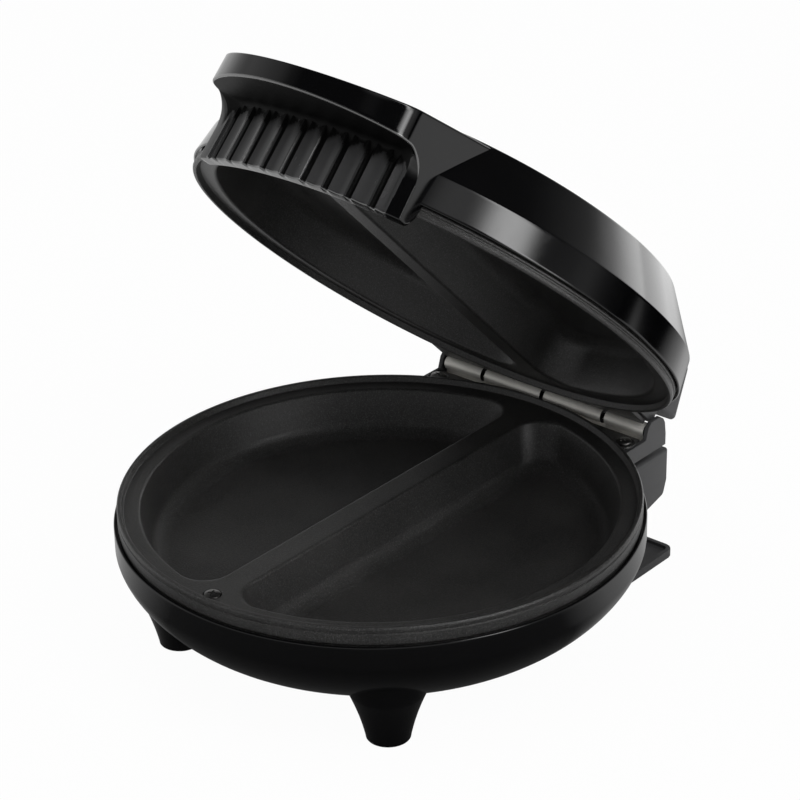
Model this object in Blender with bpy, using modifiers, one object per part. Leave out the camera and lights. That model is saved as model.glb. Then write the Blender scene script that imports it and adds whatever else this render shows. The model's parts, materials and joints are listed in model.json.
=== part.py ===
"""Electric omelette maker: a round two-pocket cooker whose lid opens on a rear hinge.

The model stands on its rubber pads at z = 0 with the handle towards -Y and the hinge towards +Y.
Base pieces are placed from the axis of the round body. Lid pieces are modelled closed, hang on an
empty that lies on the hinge axis, and are swung up by turning that empty. All lengths are metres.
"""

import math

import bmesh
import bpy
from mathutils import Matrix, Vector

# Fits shared by all pieces
GAP = 0.0003
OVERRUN = 0.006
LID_ANGLE = math.radians(45)

# Round body
BODY_RADIUS = 0.110
BODY_STEPS = 48
CASING_WALL = 0.0025
RIM_LIP = 0.001
REBATE_DEPTH = 0.002

# Base casing
FLOOR_HEIGHT = 0.018
FLOOR_INSET = 0.030
BASE_BAND = 0.010
BOWL_FULLNESS_SHARE = 1.47
BOWL_STEPS = 6
FOOT_BOSS_HEIGHT = 0.020

# Plates: depths are measured from the plane where the two plates meet
PLATE_INSET = 0.0016
PLATE_WALL = 0.0027
PLATE_RISE = 0.0079
BEAD_WIDTH = 0.0026
BEAD_DEPTH = 0.0028
FLANGE_THICKNESS = 0.0028
SKIRT_STEP = 0.001
SKIRT_DEPTH = 0.0045
SKIRT_WALL = 0.0016
POCKET_MARGIN = 0.0094
POCKET_CORNER = 0.012
RIB_WIDTH = 0.012
POCKET_DRAFT = 0.012
LOWER_POCKET_DEPTH = 0.020
UPPER_POCKET_DEPTH = 0.022
POCKET_SHARES = ((0.0, 0.0), (0.15, 0.35), (0.33, 0.72), (0.55, 0.92), (1.0, 1.0))
POCKET_STEPS = 14
CORNER_STEPS = 4
REAR_FLANGE_ROOT = 0.036
REAR_FLANGE_THICKNESS = 0.002

# Lid casing
LID_RIM_RISE = 0.0044
LID_BAND = 0.0137
LID_BAND_TAPER = 0.002
LID_RISE = 0.0411
LID_TOP_INSET = 0.0195
LID_EDGE = 0.0012

# Hinge
HINGE_SETBACK = 0.0023
HINGE_DROP = 0.0007
KNUCKLE_RADIUS = 0.0033
PIN_RADIUS = 0.0012
LEAF_THICKNESS = 0.0012
KNUCKLE_SPLIT = 0.033
KNUCKLE_GAP = 0.0018
KNUCKLE_STEPS = 16
KNUCKLE_WEB = 0.003
KNUCKLE_WEB_SHARE = 0.7
LEAF_TAB_WIDTH = 0.0095
PLATE_TO_BARREL = 0.002

# Rear blocks of the base and of the lid, and the deck with its cheeks between them
DECK_STEP = 0.005
BLOCK_BACK = 0.0125
BLOCK_ROOT = 0.0275
BLOCK_DEPTH = 0.0256
BLOCK_CORNER = 0.0012
BLOCK_SKIRT_SHARES = (0.125, 0.4)
CHEEK_WALL = 0.002
CHEEK_RISE = 0.0052
CHEEK_BACK = 0.0102
CHEEK_LEAN = 0.0008
CHEEK_FRONT = 0.0046
CHEEK_CREST_SHARES = ((0.8, 0.333), (0.56, 0.0), (-0.065, 0.0), (-0.275, 0.385))
DECK_FRONT_SETBACK = 0.0222
DECK_SLAB_SHARE = 0.7
DECK_FLOOR_SHARE = 0.38
DECK_CORE_INSET = 0.0075
LID_BLOCK_RISE = 0.0105
LID_BLOCK_BACK = 0.014
LID_BLOCK_ROOT = 0.035
LID_BLOCK_TOP = 0.0335
LID_BLOCK_LEAN = 0.0095
LID_BLOCK_CORNER = 0.0022

# Handle moulded with the lid casing
HANDLE_HALF_WIDTH = 0.0516
HANDLE_REACH = 0.0315
HANDLE_FRONT_RADIUS = 0.0686
HANDLE_CORNER = 0.012
HANDLE_TOP_DROP = 0.0123
HANDLE_BAND = 0.0093
HANDLE_SKIRT_CLEARANCE = 0.0022
HANDLE_OVERLAP = 0.0358
GRIP_WALL = 0.0055
GRIP_CURVE = 0.0045
GRIP_SLOPE_SHARE = 0.03
GROOVE_WIDTH = 0.0022
GROOVE_DEPTH = 0.0013
GROOVE_REACH = 0.0105
GROOVE_COUNT = 9
GROOVE_PITCH = math.radians(5.0)

# Feet and pads
FOOT_INSET = 0.0247
FOOT_ANGLE = math.radians(41.8)
FOOT_RADIUS = 0.0091
FOOT_FLARE = 0.0056
FOOT_EDGE = 0.0006
FOOT_FLARE_RISE = 0.002
FOOT_SHARES = ((0.0, 0.0), (0.3, 0.06), (0.6, 0.3), (0.85, 0.68), (1.0, 1.0))
FOOT_STEPS = 20
PAD_RADIUS = 0.0062
PAD_THICKNESS = 0.0022
PAD_PROUD = 0.0006

# Rear foot with the cord wrap
TRAY_OVERHANG = 0.0055
TRAY_REACH = 0.0135
TRAY_DEPTH = 0.050
TRAY_THICKNESS = 0.0024
TRAY_LIP = 0.0014
TRAY_LIP_WIDTH = 0.002
TRAY_CORNER = 0.004
PEDESTAL_INSET = 0.021
PEDESTAL_DEPTH = 0.030
PEDESTAL_SETBACK = 0.010
REAR_PAD_INSET = 0.012
REAR_PAD_MARGIN = 0.011

# Screws
SCREW_RADIUS = 0.0015
SCREW_HEAD_RADIUS = 0.00335
SCREW_HEAD_HEIGHT = 0.0014
SCREW_CROWN_SHARE = 0.6
SCREW_STEPS = 14
SCREW_BITE = 0.010
BOSS_RADIUS = 0.0035
SMALL_SCREW_BITE = 0.005
FRONT_SCREW_MARGIN = 0.0079
RECESS_DEPTH = 0.001
RECESS_RADIUS = 0.0038
REAR_SCREW_CLEARANCE = 0.0041
REAR_SCREW_MARGIN = 0.0037
REAR_SCREW_SETBACK = 0.0068
FOOT_SCREW_INSET = 0.012
SHIELD_SCREW_INSET = 0.020

# Heating
ELEMENT_RADIUS = 0.003
ELEMENT_INSET = 0.039
ELEMENT_OPENING = math.radians(60)
ELEMENT_POINTS = 25
SHIELD_THICKNESS = 0.0006
SHIELD_INSET = 0.004
SHIELD_FLARE = 0.012
SHIELD_RIM = 0.008
SHIELD_STEPS = 32
SHIELD_CLEARANCE = 0.0017
THERMOSTAT_RADIUS = 0.0078
THERMOSTAT_HEIGHT = 0.0055
THERMOSTAT_CAP_SHARES = (0.8, 0.4)
THERMOSTAT_INSET = 0.024
FUSE_RADIUS = 0.002
FUSE_LENGTH = 0.012
FUSE_INSET = 0.024
TERMINAL_WIDTH = 0.030
TERMINAL_DEPTH = 0.012
TERMINAL_HEIGHT = 0.0075
TERMINAL_INSET = 0.014
TERMINAL_CLEARANCE = 0.002
TERMINAL_CHAMFER = 0.001

# Cord inlet in the back of the base
INLET_DROP = 0.011
INLET_HOLE = 0.0045
INLET_BORE = 0.003
INLET_FLANGE = 0.0065
INLET_FLANGE_THICKNESS = 0.0016
INLET_STEPS = 20

# Pilot lamps in the lid
LAMP_SPACING = 0.024
LAMP_FORWARD = 0.028
LENS_RADIUS = 0.004
LENS_LIP = 0.0012
LENS_LIP_THICKNESS = 0.0006
LENS_DOME = 0.0012
LENS_STEPS = 16
LAMP_BOARD_THICKNESS = 0.0008
LAMP_BOARD_MARGIN = 0.007

# Places that follow from the sizes above
FLANGE_DEPTH = BEAD_DEPTH + FLANGE_THICKNESS
FLOOR_RADIUS = BODY_RADIUS - FLOOR_INSET
PLATE_RADIUS = BODY_RADIUS - PLATE_INSET
POCKET_RADIUS = PLATE_RADIUS - POCKET_MARGIN
LID_TOP_RADIUS = BODY_RADIUS - LID_TOP_INSET
FRONT_SCREW_RADIUS_AT = PLATE_RADIUS - FRONT_SCREW_MARGIN
ELEMENT_RING = POCKET_RADIUS - ELEMENT_INSET
SHIELD_RADIUS = FLOOR_RADIUS - SHIELD_INSET
SHIELD_SCREW_AT = ELEMENT_RING - SHIELD_SCREW_INSET
THERMOSTAT_SIDE = ELEMENT_RING - THERMOSTAT_INSET
FUSE_SIDE = ELEMENT_RING - FUSE_INSET
TERMINAL_AT = FLOOR_RADIUS - TERMINAL_INSET
ELEMENT_DROP = BEAD_DEPTH + LOWER_POCKET_DEPTH + PLATE_WALL + GAP + ELEMENT_RADIUS
SHIELD_DROP = ELEMENT_DROP + ELEMENT_RADIUS + SHIELD_CLEARANCE + SHIELD_THICKNESS
WIRING_ROOM = GAP + TERMINAL_HEIGHT + TERMINAL_CLEARANCE
MEETING_HEIGHT = FLOOR_HEIGHT + CASING_WALL + WIRING_ROOM + SHIELD_DROP
BASE_HEIGHT = MEETING_HEIGHT - PLATE_RISE
BLOCK_TOP = BASE_HEIGHT - DECK_STEP
BLOCK_BOTTOM = BLOCK_TOP - BLOCK_DEPTH
INLET_HEIGHT = BLOCK_TOP - INLET_DROP
HINGE_Y = BODY_RADIUS + HINGE_SETBACK
HINGE_Z = MEETING_HEIGHT - HINGE_DROP
PLATE_BACK = HINGE_Y - KNUCKLE_RADIUS - PLATE_TO_BARREL
LEAF_LOW = HINGE_Z - MEETING_HEIGHT + BEAD_DEPTH + REAR_FLANGE_THICKNESS + GAP
DECK_TOP = HINGE_Z - LEAF_LOW - LEAF_THICKNESS - GAP
LID_RIM = MEETING_HEIGHT + LID_RIM_RISE
LID_TOP = MEETING_HEIGHT + LID_RISE
LID_CEILING = LID_TOP - CASING_WALL
LID_BLOCK_BOTTOM = HINGE_Z + LID_BLOCK_RISE
LID_LEAF_TOP = MEETING_HEIGHT + BEAD_DEPTH + REAR_FLANGE_THICKNESS + GAP + LEAF_THICKNESS
REAR_SCREW_Y = PLATE_BACK - REAR_SCREW_SETBACK
REAR_SCREW_SIDE = math.sqrt((PLATE_RADIUS + REAR_SCREW_CLEARANCE) ** 2 - REAR_SCREW_Y**2)
BARREL_HALF_LENGTH = REAR_SCREW_SIDE + REAR_SCREW_MARGIN
REAR_FLANGE_WIDTH = 2 * (BARREL_HALF_LENGTH + GAP / 3)
BLOCK_HALF_WIDTH = BARREL_HALF_LENGTH + 2 * GAP + CHEEK_WALL
HOLE_RADIUS = SCREW_RADIUS + GAP
FOOT_BOTTOM = PAD_PROUD
FOOT_SIDE = (BODY_RADIUS - FOOT_INSET) * math.sin(FOOT_ANGLE)
FOOT_FORWARD = (BODY_RADIUS - FOOT_INSET) * math.cos(FOOT_ANGLE)
HANDLE_ROOT = BODY_RADIUS - HANDLE_OVERLAP
TRAY_HALF_WIDTH = BLOCK_HALF_WIDTH + TRAY_OVERHANG
TRAY_BACK = BODY_RADIUS + TRAY_REACH
REAR_PAD_SIDE = TRAY_HALF_WIDTH - REAR_PAD_INSET
PEDESTAL_HALF_WIDTH = TRAY_HALF_WIDTH - PEDESTAL_INSET
FOOT_SCREW_SIDE = PEDESTAL_HALF_WIDTH - FOOT_SCREW_INSET
TRAY_FRONT = TRAY_BACK - TRAY_DEPTH
PEDESTAL_Y = TRAY_BACK - PEDESTAL_SETBACK - PEDESTAL_DEPTH / 2
BLOCK_REAR_Y = HINGE_Y + BLOCK_BACK

parts = bpy.data.collections.new("omelette_maker")
tools = bpy.data.collections.new("cutters")


def start_empty():
    for obj in list(bpy.data.objects):
        bpy.data.objects.remove(obj)
    bpy.context.scene.collection.children.link(parts)
    bpy.context.scene.collection.children.link(tools)


def material(name, colour, roughness, metallic=0.0):
    made = bpy.data.materials.new(name)
    made.use_nodes = True
    shader = made.node_tree.nodes["Principled BSDF"]
    shader.inputs["Base Color"].default_value = (*colour, 1.0)
    shader.inputs["Roughness"].default_value = roughness
    shader.inputs["Metallic"].default_value = metallic
    return made


class Carrier:
    """An empty that carries pieces, and the point of the closed cooker that it stands at."""

    def __init__(self, name, origin, parent=None):
        self.origin = Vector(origin)
        self.empty = bpy.data.objects.new(name, None)
        parts.objects.link(self.empty)
        self.empty.location = self.origin
        if parent:
            self.empty.parent = parent.empty
            self.empty.location = self.origin - parent.origin

    def hold(self, obj, place=(0, 0, 0)):
        obj.parent = self.empty
        obj.location = Vector(place) - self.origin
        return obj


def piece(obj, paint):
    """Move an object into the cooker's collection, painted and shaded."""
    tools.objects.unlink(obj)
    parts.objects.link(obj)
    obj.hide_render = False
    obj.display_type = "TEXTURED"
    obj.data.materials.append(paint)
    return obj


def mesh_object(name, mesh):
    """A new object starts among the cutters; piece() makes a part of it."""
    obj = bpy.data.objects.new(name, mesh)
    tools.objects.link(obj)
    obj.hide_render = True
    obj.display_type = "WIRE"
    return obj


def turned(name, profile, steps, closed=False):
    """A solid of revolution about Z from a profile that runs down its outer side."""
    mesh = bpy.data.meshes.new(name)
    points = [(radius, 0, height) for radius, height in profile]
    edges = [(i, i + 1) for i in range(len(points) - 1)]
    if closed:
        edges.append((len(points) - 1, 0))
    mesh.from_pydata(points, edges, [])
    obj = mesh_object(name, mesh)
    screw = obj.modifiers.new("turn", "SCREW")
    screw.angle = math.tau
    screw.steps = steps
    screw.render_steps = steps
    screw.use_merge_vertices = True
    screw.merge_threshold = 0.00005
    screw.use_smooth_shade = True
    return obj


def outline_solid(name, outline, low, high, across=False):
    """A flat outline with thickness: drawn in XY and raised along Z, or in YZ and drawn out along X."""
    curve = bpy.data.curves.new(name, "CURVE")
    curve.dimensions = "2D"
    curve.fill_mode = "BOTH"
    curve.extrude = (high - low) / 2
    line = curve.splines.new("POLY")
    line.points.add(len(outline) - 1)
    for point, (u, v) in zip(line.points, outline):
        point.co = (u, v, 0, 1)
    line.use_cyclic_u = True
    drawn = bpy.data.objects.new(name, curve)
    tools.objects.link(drawn)
    mesh = bpy.data.meshes.new_from_object(drawn.evaluated_get(bpy.context.evaluated_depsgraph_get()))
    bpy.data.objects.remove(drawn)
    form = bmesh.new()
    form.from_mesh(mesh)
    bmesh.ops.remove_doubles(form, verts=form.verts, dist=0.00001)
    form.transform(Matrix.Translation((0, 0, (high + low) / 2)))
    if across:
        form.transform(Matrix(((0, 0, 1, 0), (1, 0, 0, 0), (0, 1, 0, 0), (0, 0, 0, 1))))
    bmesh.ops.recalc_face_normals(form, faces=form.faces)
    form.to_mesh(mesh)
    form.free()
    return mesh_object(name, mesh)


def box(name, low, high):
    form = bmesh.new()
    bmesh.ops.create_cube(form, size=1)
    size = Vector(high) - Vector(low)
    middle = (Vector(high) + Vector(low)) / 2
    form.transform(Matrix.Translation(middle) @ Matrix.Diagonal((*size, 1)))
    mesh = bpy.data.meshes.new(name)
    form.to_mesh(mesh)
    form.free()
    return mesh_object(name, mesh)


def rods(name, places, steps):
    """Upright round rods, each given as x, y, radius, bottom and top."""
    form = bmesh.new()
    for x, y, radius, low, high in places:
        middle = Matrix.Translation((x, y, (low + high) / 2))
        size = {"radius1": radius, "radius2": radius, "depth": high - low}
        bmesh.ops.create_cone(form, cap_ends=True, segments=steps, matrix=middle, **size)
    mesh = bpy.data.meshes.new(name)
    form.to_mesh(mesh)
    form.free()
    return mesh_object(name, mesh)


def lying_rods(name, places, steps, y, z):
    """Round rods along X at one height, each given as radius and its two ends."""
    form = bmesh.new()
    for radius, left, right in places:
        turn = Matrix.Translation(((left + right) / 2, y, z)) @ Matrix.Rotation(math.pi / 2, 4, "Y")
        size = {"radius1": radius, "radius2": radius, "depth": right - left}
        bmesh.ops.create_cone(form, cap_ends=True, segments=steps, matrix=turn, **size)
    mesh = bpy.data.meshes.new(name)
    form.to_mesh(mesh)
    form.free()
    return mesh_object(name, mesh)


def combine(target, operation, *others):
    for other in others:
        step = target.modifiers.new(f"{operation.lower()} {other.name}", "BOOLEAN")
        step.operation = operation
        step.solver = "EXACT"
        step.object = other
    return target


def bevelled(obj, width, segments=1):
    edge = obj.modifiers.new("edges", "BEVEL")
    edge.width = width
    edge.segments = segments
    edge.limit_method = "ANGLE"
    return obj


def arc(centre, radius, start, end, steps):
    """Points of a circle in the plane, from one angle to another."""
    return [
        (centre[0] + radius * math.cos(angle), centre[1] + radius * math.sin(angle))
        for angle in (start + (end - start) * i / steps for i in range(steps + 1))
    ]


def offset(points, distance, closed=True):
    """The outline moved to the left of its own direction by a distance."""
    count = len(points)
    moved = []
    for i, point in enumerate(points):
        before = Vector(points[i - 1]) if closed or i else None
        after = Vector(points[(i + 1) % count]) if closed or i < count - 1 else None
        point = Vector(point)
        normals = []
        for start, end in ((before, point), (point, after)):
            if start is not None and end is not None:
                run = (end - start).normalized()
                normals.append(Vector((-run.y, run.x)))
        total = sum(normals, Vector((0, 0)))
        moved.append(tuple(point + total * (distance * len(normals) / total.length_squared)))
    return moved


def rounded(points, radius, steps=3):
    """A convex outline, drawn anticlockwise, with each corner turned into an arc."""
    count = len(points)
    made = []
    for i in range(count):
        corner = Vector(points[i])
        before = (Vector(points[i - 1]) - corner).normalized()
        after = (Vector(points[(i + 1) % count]) - corner).normalized()
        half = before.angle(after) / 2
        centre = corner + (before + after).normalized() * (radius / math.sin(half))
        start = corner + before * (radius / math.tan(half)) - centre
        first = math.atan2(start.y, start.x)
        made.extend(arc(centre, radius, first, first + math.pi - 2 * half, steps))
    return made


def bowl_curve(inner, low, outer, high):
    """The bowl's flank, from the top of its curve down to the flat floor."""
    power = 2 / BOWL_FULLNESS_SHARE
    curve = []
    for i in range(BOWL_STEPS + 1):
        angle = math.pi / 2 * (1 - i / BOWL_STEPS)
        across = math.sin(angle) ** power
        down = math.cos(angle) ** power
        curve.append((inner + (outer - inner) * across, high - (high - low) * down))
    return curve


def bowl_profile(wall, top):
    """Half section of the bowl, shrunk by a wall on its flank and its floor and run up to a top."""
    floor = FLOOR_HEIGHT + wall
    radius = BODY_RADIUS - wall
    flank = bowl_curve(FLOOR_RADIUS, floor, radius, BASE_HEIGHT - BASE_BAND)
    return [(0, top), (radius, top), *flank, (0, floor)]


def pocket_outline(inset, mirror):
    """Half-moon: an arc of the plate's circle, a straight rib side and two rounded corners."""
    radius = POCKET_RADIUS - inset
    corner = POCKET_CORNER
    across = RIB_WIDTH / 2 + inset + corner
    lean = math.acos(across / (radius - corner))
    along = (radius - corner) * math.sin(lean)
    points = arc((0, 0), radius, -lean, lean, POCKET_STEPS)
    points += arc((across, along), corner, lean, math.pi, CORNER_STEPS)[1:]
    points += arc((across, -along), corner, math.pi, math.tau - lean, CORNER_STEPS)[:-1]
    if mirror:
        points = [(-x, y) for x, y in reversed(points)]
    return points


def lofted(name, rings):
    """A closed solid through rings of equally many points."""
    form = bmesh.new()
    rows = [[form.verts.new(point) for point in row] for row in rings]
    count = len(rows[0])
    for low, high in zip(rows, rows[1:]):
        for i in range(count):
            form.faces.new((low[i], low[(i + 1) % count], high[(i + 1) % count], high[i]))
    form.faces.new(rows[0])
    form.faces.new(rows[-1])
    bmesh.ops.recalc_face_normals(form, faces=form.faces)
    mesh = bpy.data.meshes.new(name)
    form.to_mesh(mesh)
    form.free()
    return mesh_object(name, mesh)


def pocket(name, depth, up, mirror, wall):
    """One pocket as a solid: its hollow with no wall, or its outer shell with one."""
    rings = []
    if not wall:
        rings.append((0, BEAD_DEPTH - OVERRUN))
    top = BEAD_DEPTH + (FLANGE_THICKNESS / 2 if wall else 0)
    for inset_share, depth_share in POCKET_SHARES:
        low = top + (BEAD_DEPTH + depth + wall - top) * depth_share
        rings.append((POCKET_DRAFT * inset_share - wall, low))
    rows = []
    for inset, low in rings:
        rows.append([(x, y, MEETING_HEIGHT + up * low) for x, y in pocket_outline(inset, mirror)])
    return lofted(name, rows)


def plate(name, depth, up, rise, carrier, paint):
    """A cooking plate: a round flange with a bead, a skirt, a rear flange and two half-moon pockets.

    up is -1 for the lower plate and 1 for the upper one; rise is the height that shows past the casing.
    """
    shoulder = rise + REBATE_DEPTH - GAP
    skirt_radius = BODY_RADIUS - CASING_WALL - 2 * GAP - (LID_BAND_TAPER / 2 if up > 0 else 0)
    skirt_bottom = max(shoulder, FLANGE_DEPTH) + SKIRT_DEPTH
    face = GAP / 2
    outline = [
        (0, BEAD_DEPTH),
        (PLATE_RADIUS - BEAD_WIDTH, BEAD_DEPTH),
        (PLATE_RADIUS - BEAD_WIDTH * 2 / 3, face),
        (PLATE_RADIUS - BEAD_WIDTH / 4, face),
        (PLATE_RADIUS, face + BEAD_WIDTH / 4),
        (PLATE_RADIUS, shoulder - SKIRT_STEP * 2),
        (PLATE_RADIUS - SKIRT_STEP / 2, shoulder - SKIRT_STEP),
        (PLATE_RADIUS - SKIRT_STEP / 2, shoulder),
        (skirt_radius, shoulder),
        (skirt_radius, skirt_bottom),
        (skirt_radius - SKIRT_WALL, skirt_bottom),
        (skirt_radius - SKIRT_WALL, FLANGE_DEPTH),
        (0, FLANGE_DEPTH),
    ]
    if up > 0:
        outline.reverse()
    body = turned(name, [(radius, MEETING_HEIGHT + up * low) for radius, low in outline], BODY_STEPS)
    flange_low = MEETING_HEIGHT + up * BEAD_DEPTH
    flange_high = flange_low + up * REAR_FLANGE_THICKNESS
    rear = box(
        name + " rear flange",
        (-REAR_FLANGE_WIDTH / 2, HINGE_Y - REAR_FLANGE_ROOT, min(flange_low, flange_high)),
        (REAR_FLANGE_WIDTH / 2, PLATE_BACK + OVERRUN, max(flange_low, flange_high)),
    )
    trim = box(
        name + " back trim",
        (-BODY_RADIUS, PLATE_BACK, MEETING_HEIGHT - BODY_RADIUS),
        (BODY_RADIUS, PLATE_BACK + BODY_RADIUS, MEETING_HEIGHT + BODY_RADIUS),
    )
    shells = [pocket(f"{name} shell {side}", depth, up, side, PLATE_WALL) for side in (0, 1)]
    hollows = [pocket(f"{name} pocket {side}", depth, up, side, 0) for side in (0, 1)]
    through = (flange_low - up * OVERRUN, flange_low + up * OVERRUN)
    recess = (flange_low - up * OVERRUN, flange_low + up * RECESS_DEPTH)
    front = (0, -FRONT_SCREW_RADIUS_AT)
    centres = [(-REAR_SCREW_SIDE, REAR_SCREW_Y), (REAR_SCREW_SIDE, REAR_SCREW_Y), front]
    holes = [(*centre, HOLE_RADIUS, min(through), max(through)) for centre in centres]
    drill = rods(name + " holes", holes, SCREW_STEPS)
    sink = rods(name + " recess", [(*front, RECESS_RADIUS, min(recess), max(recess))], SCREW_STEPS)
    combine(body, "UNION", *shells, rear)
    combine(body, "DIFFERENCE", *hollows, trim, drill, sink)
    for obj in (rear, trim, *shells, *hollows, drill, sink):
        carrier.hold(obj)
    carrier.hold(body)
    return piece(body, paint)


def screw(name, length, place, direction, carrier, paint):
    """A pan-head screw whose head bears on a surface at its place and whose shank runs on past it."""
    head = SCREW_HEAD_RADIUS
    rise = SCREW_HEAD_HEIGHT
    outline = [
        (0, rise),
        (head * SCREW_CROWN_SHARE, rise),
        (head, rise / 2),
        (head, 0),
        (SCREW_RADIUS, 0),
        (SCREW_RADIUS, SCREW_RADIUS - length),
        (0, -length),
    ]
    obj = turned(name, outline, SCREW_STEPS)
    carrier.hold(obj, Vector(place) + Vector((0, 0, direction * GAP)))
    obj.rotation_euler.x = 0 if direction > 0 else math.pi
    return piece(obj, paint)


def rear_block(name, inset):
    """The base's rear block, from the bowl back to its upright rear wall, shrunk by an inset."""
    rear = BLOCK_REAR_Y
    front = BODY_RADIUS - BLOCK_ROOT
    tall = BLOCK_TOP - BLOCK_BOTTOM
    low_share, wall_share = BLOCK_SKIRT_SHARES
    outline = [
        (front, BLOCK_BOTTOM),
        (BODY_RADIUS, BLOCK_BOTTOM),
        (rear - BLOCK_CORNER * 2, BLOCK_BOTTOM + tall * low_share),
        (rear, BLOCK_BOTTOM + tall * wall_share),
        (rear, BLOCK_TOP - BLOCK_CORNER),
        (rear - BLOCK_CORNER, BLOCK_TOP),
        (front, BLOCK_TOP),
    ]
    half = BLOCK_HALF_WIDTH - inset
    return outline_solid(name, offset(outline, inset), -half, half, across=True)


def trumpet_foot(name):
    """A round foot that flares out into the bowl above it."""
    root = BASE_HEIGHT - BASE_BAND
    low = FOOT_BOTTOM + FOOT_EDGE
    tall = FLOOR_HEIGHT + FOOT_FLARE_RISE - low
    outline = [(0, root), (FOOT_RADIUS + FOOT_FLARE, root)]
    for rise, flare in reversed(FOOT_SHARES):
        outline.append((FOOT_RADIUS + FOOT_FLARE * flare, low + tall * rise))
    outline += [(FOOT_RADIUS - FOOT_EDGE, FOOT_BOTTOM), (0, FOOT_BOTTOM)]
    return turned(name, outline, FOOT_STEPS)


def base_casing(carrier, paint):
    """Bowl with a rear block, two trumpet feet, screw bosses and the cord's hole."""
    body = turned("base_casing", bowl_profile(0, BASE_HEIGHT), BODY_STEPS)
    hollow = turned("bowl room", bowl_profile(CASING_WALL, BASE_HEIGHT + OVERRUN), BODY_STEPS)
    block = rear_block("block", 0)
    room = rear_block("block room", CASING_WALL)
    foot_hole = FLOOR_HEIGHT + FOOT_BOSS_HEIGHT
    bosses = [(0, -FRONT_SCREW_RADIUS_AT, BOSS_RADIUS, 0, MEETING_HEIGHT - FLANGE_DEPTH - GAP)]
    for side in (-1, 1):
        bosses.append((side * REAR_SCREW_SIDE, REAR_SCREW_Y, BOSS_RADIUS, 0, BLOCK_TOP))
        bosses.append((0, side * SHIELD_SCREW_AT, BOSS_RADIUS, 0, shield_height() - GAP))
        bosses.append((side * FOOT_SCREW_SIDE, PEDESTAL_Y, BOSS_RADIUS, 0, foot_hole + CASING_WALL))
    pillars = rods("pillars", bosses, SCREW_STEPS)
    combine(hollow, "UNION", room)
    combine(hollow, "DIFFERENCE", pillars)
    feet = [trumpet_foot(f"foot {side}") for side in (-1, 1)]
    for side, foot in zip((-1, 1), feet):
        carrier.hold(foot, (side * FOOT_SIDE, -FOOT_FORWARD, 0))
    seat = (0, 0, BODY_RADIUS - RIM_LIP, BASE_HEIGHT - REBATE_DEPTH, BASE_HEIGHT + OVERRUN)
    rebate = rods("rim rebate", [seat], BODY_STEPS)
    step = box(
        "deck step",
        (-BLOCK_HALF_WIDTH - GAP, BODY_RADIUS - BLOCK_ROOT, BLOCK_TOP),
        (BLOCK_HALF_WIDTH + GAP, BODY_RADIUS + BLOCK_ROOT, BASE_HEIGHT + OVERRUN),
    )
    pad_top = PAD_THICKNESS + GAP
    rear_hole = BLOCK_TOP - SCREW_BITE
    shield_hole = shield_height() - SMALL_SCREW_BITE - 2 * GAP
    holes = [(0, -FRONT_SCREW_RADIUS_AT, HOLE_RADIUS, BASE_HEIGHT - SCREW_BITE, BASE_HEIGHT + OVERRUN)]
    for side in (-1, 1):
        holes.append((side * FOOT_SIDE, -FOOT_FORWARD, PAD_RADIUS + GAP, -OVERRUN, pad_top))
        holes.append((side * REAR_SCREW_SIDE, REAR_SCREW_Y, HOLE_RADIUS, rear_hole, BLOCK_TOP + OVERRUN))
        holes.append((0, side * SHIELD_SCREW_AT, HOLE_RADIUS, shield_hole, BASE_HEIGHT))
        holes.append((side * FOOT_SCREW_SIDE, PEDESTAL_Y, HOLE_RADIUS, 0, foot_hole))
    drill = rods("base holes", holes, SCREW_STEPS)
    inlet = rods("inlet hole", [(0, 0, INLET_HOLE, -OVERRUN, OVERRUN)], INLET_STEPS)
    carrier.hold(inlet, (0, BLOCK_REAR_Y, INLET_HEIGHT))
    inlet.rotation_euler.x = math.pi / 2
    for obj in (body, block, room, hollow, pillars, rebate, step, drill):
        carrier.hold(obj)
    combine(body, "UNION", block, *feet)
    combine(body, "DIFFERENCE", hollow, rebate, step, drill, inlet)
    return piece(body, paint)


def rear_round(name, low, high):
    """Round clearance that the rear pieces keep to the plates' skirts."""
    return rods(name, [(0, 0, PLATE_RADIUS + GAP, low, high)], BODY_STEPS)


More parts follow.
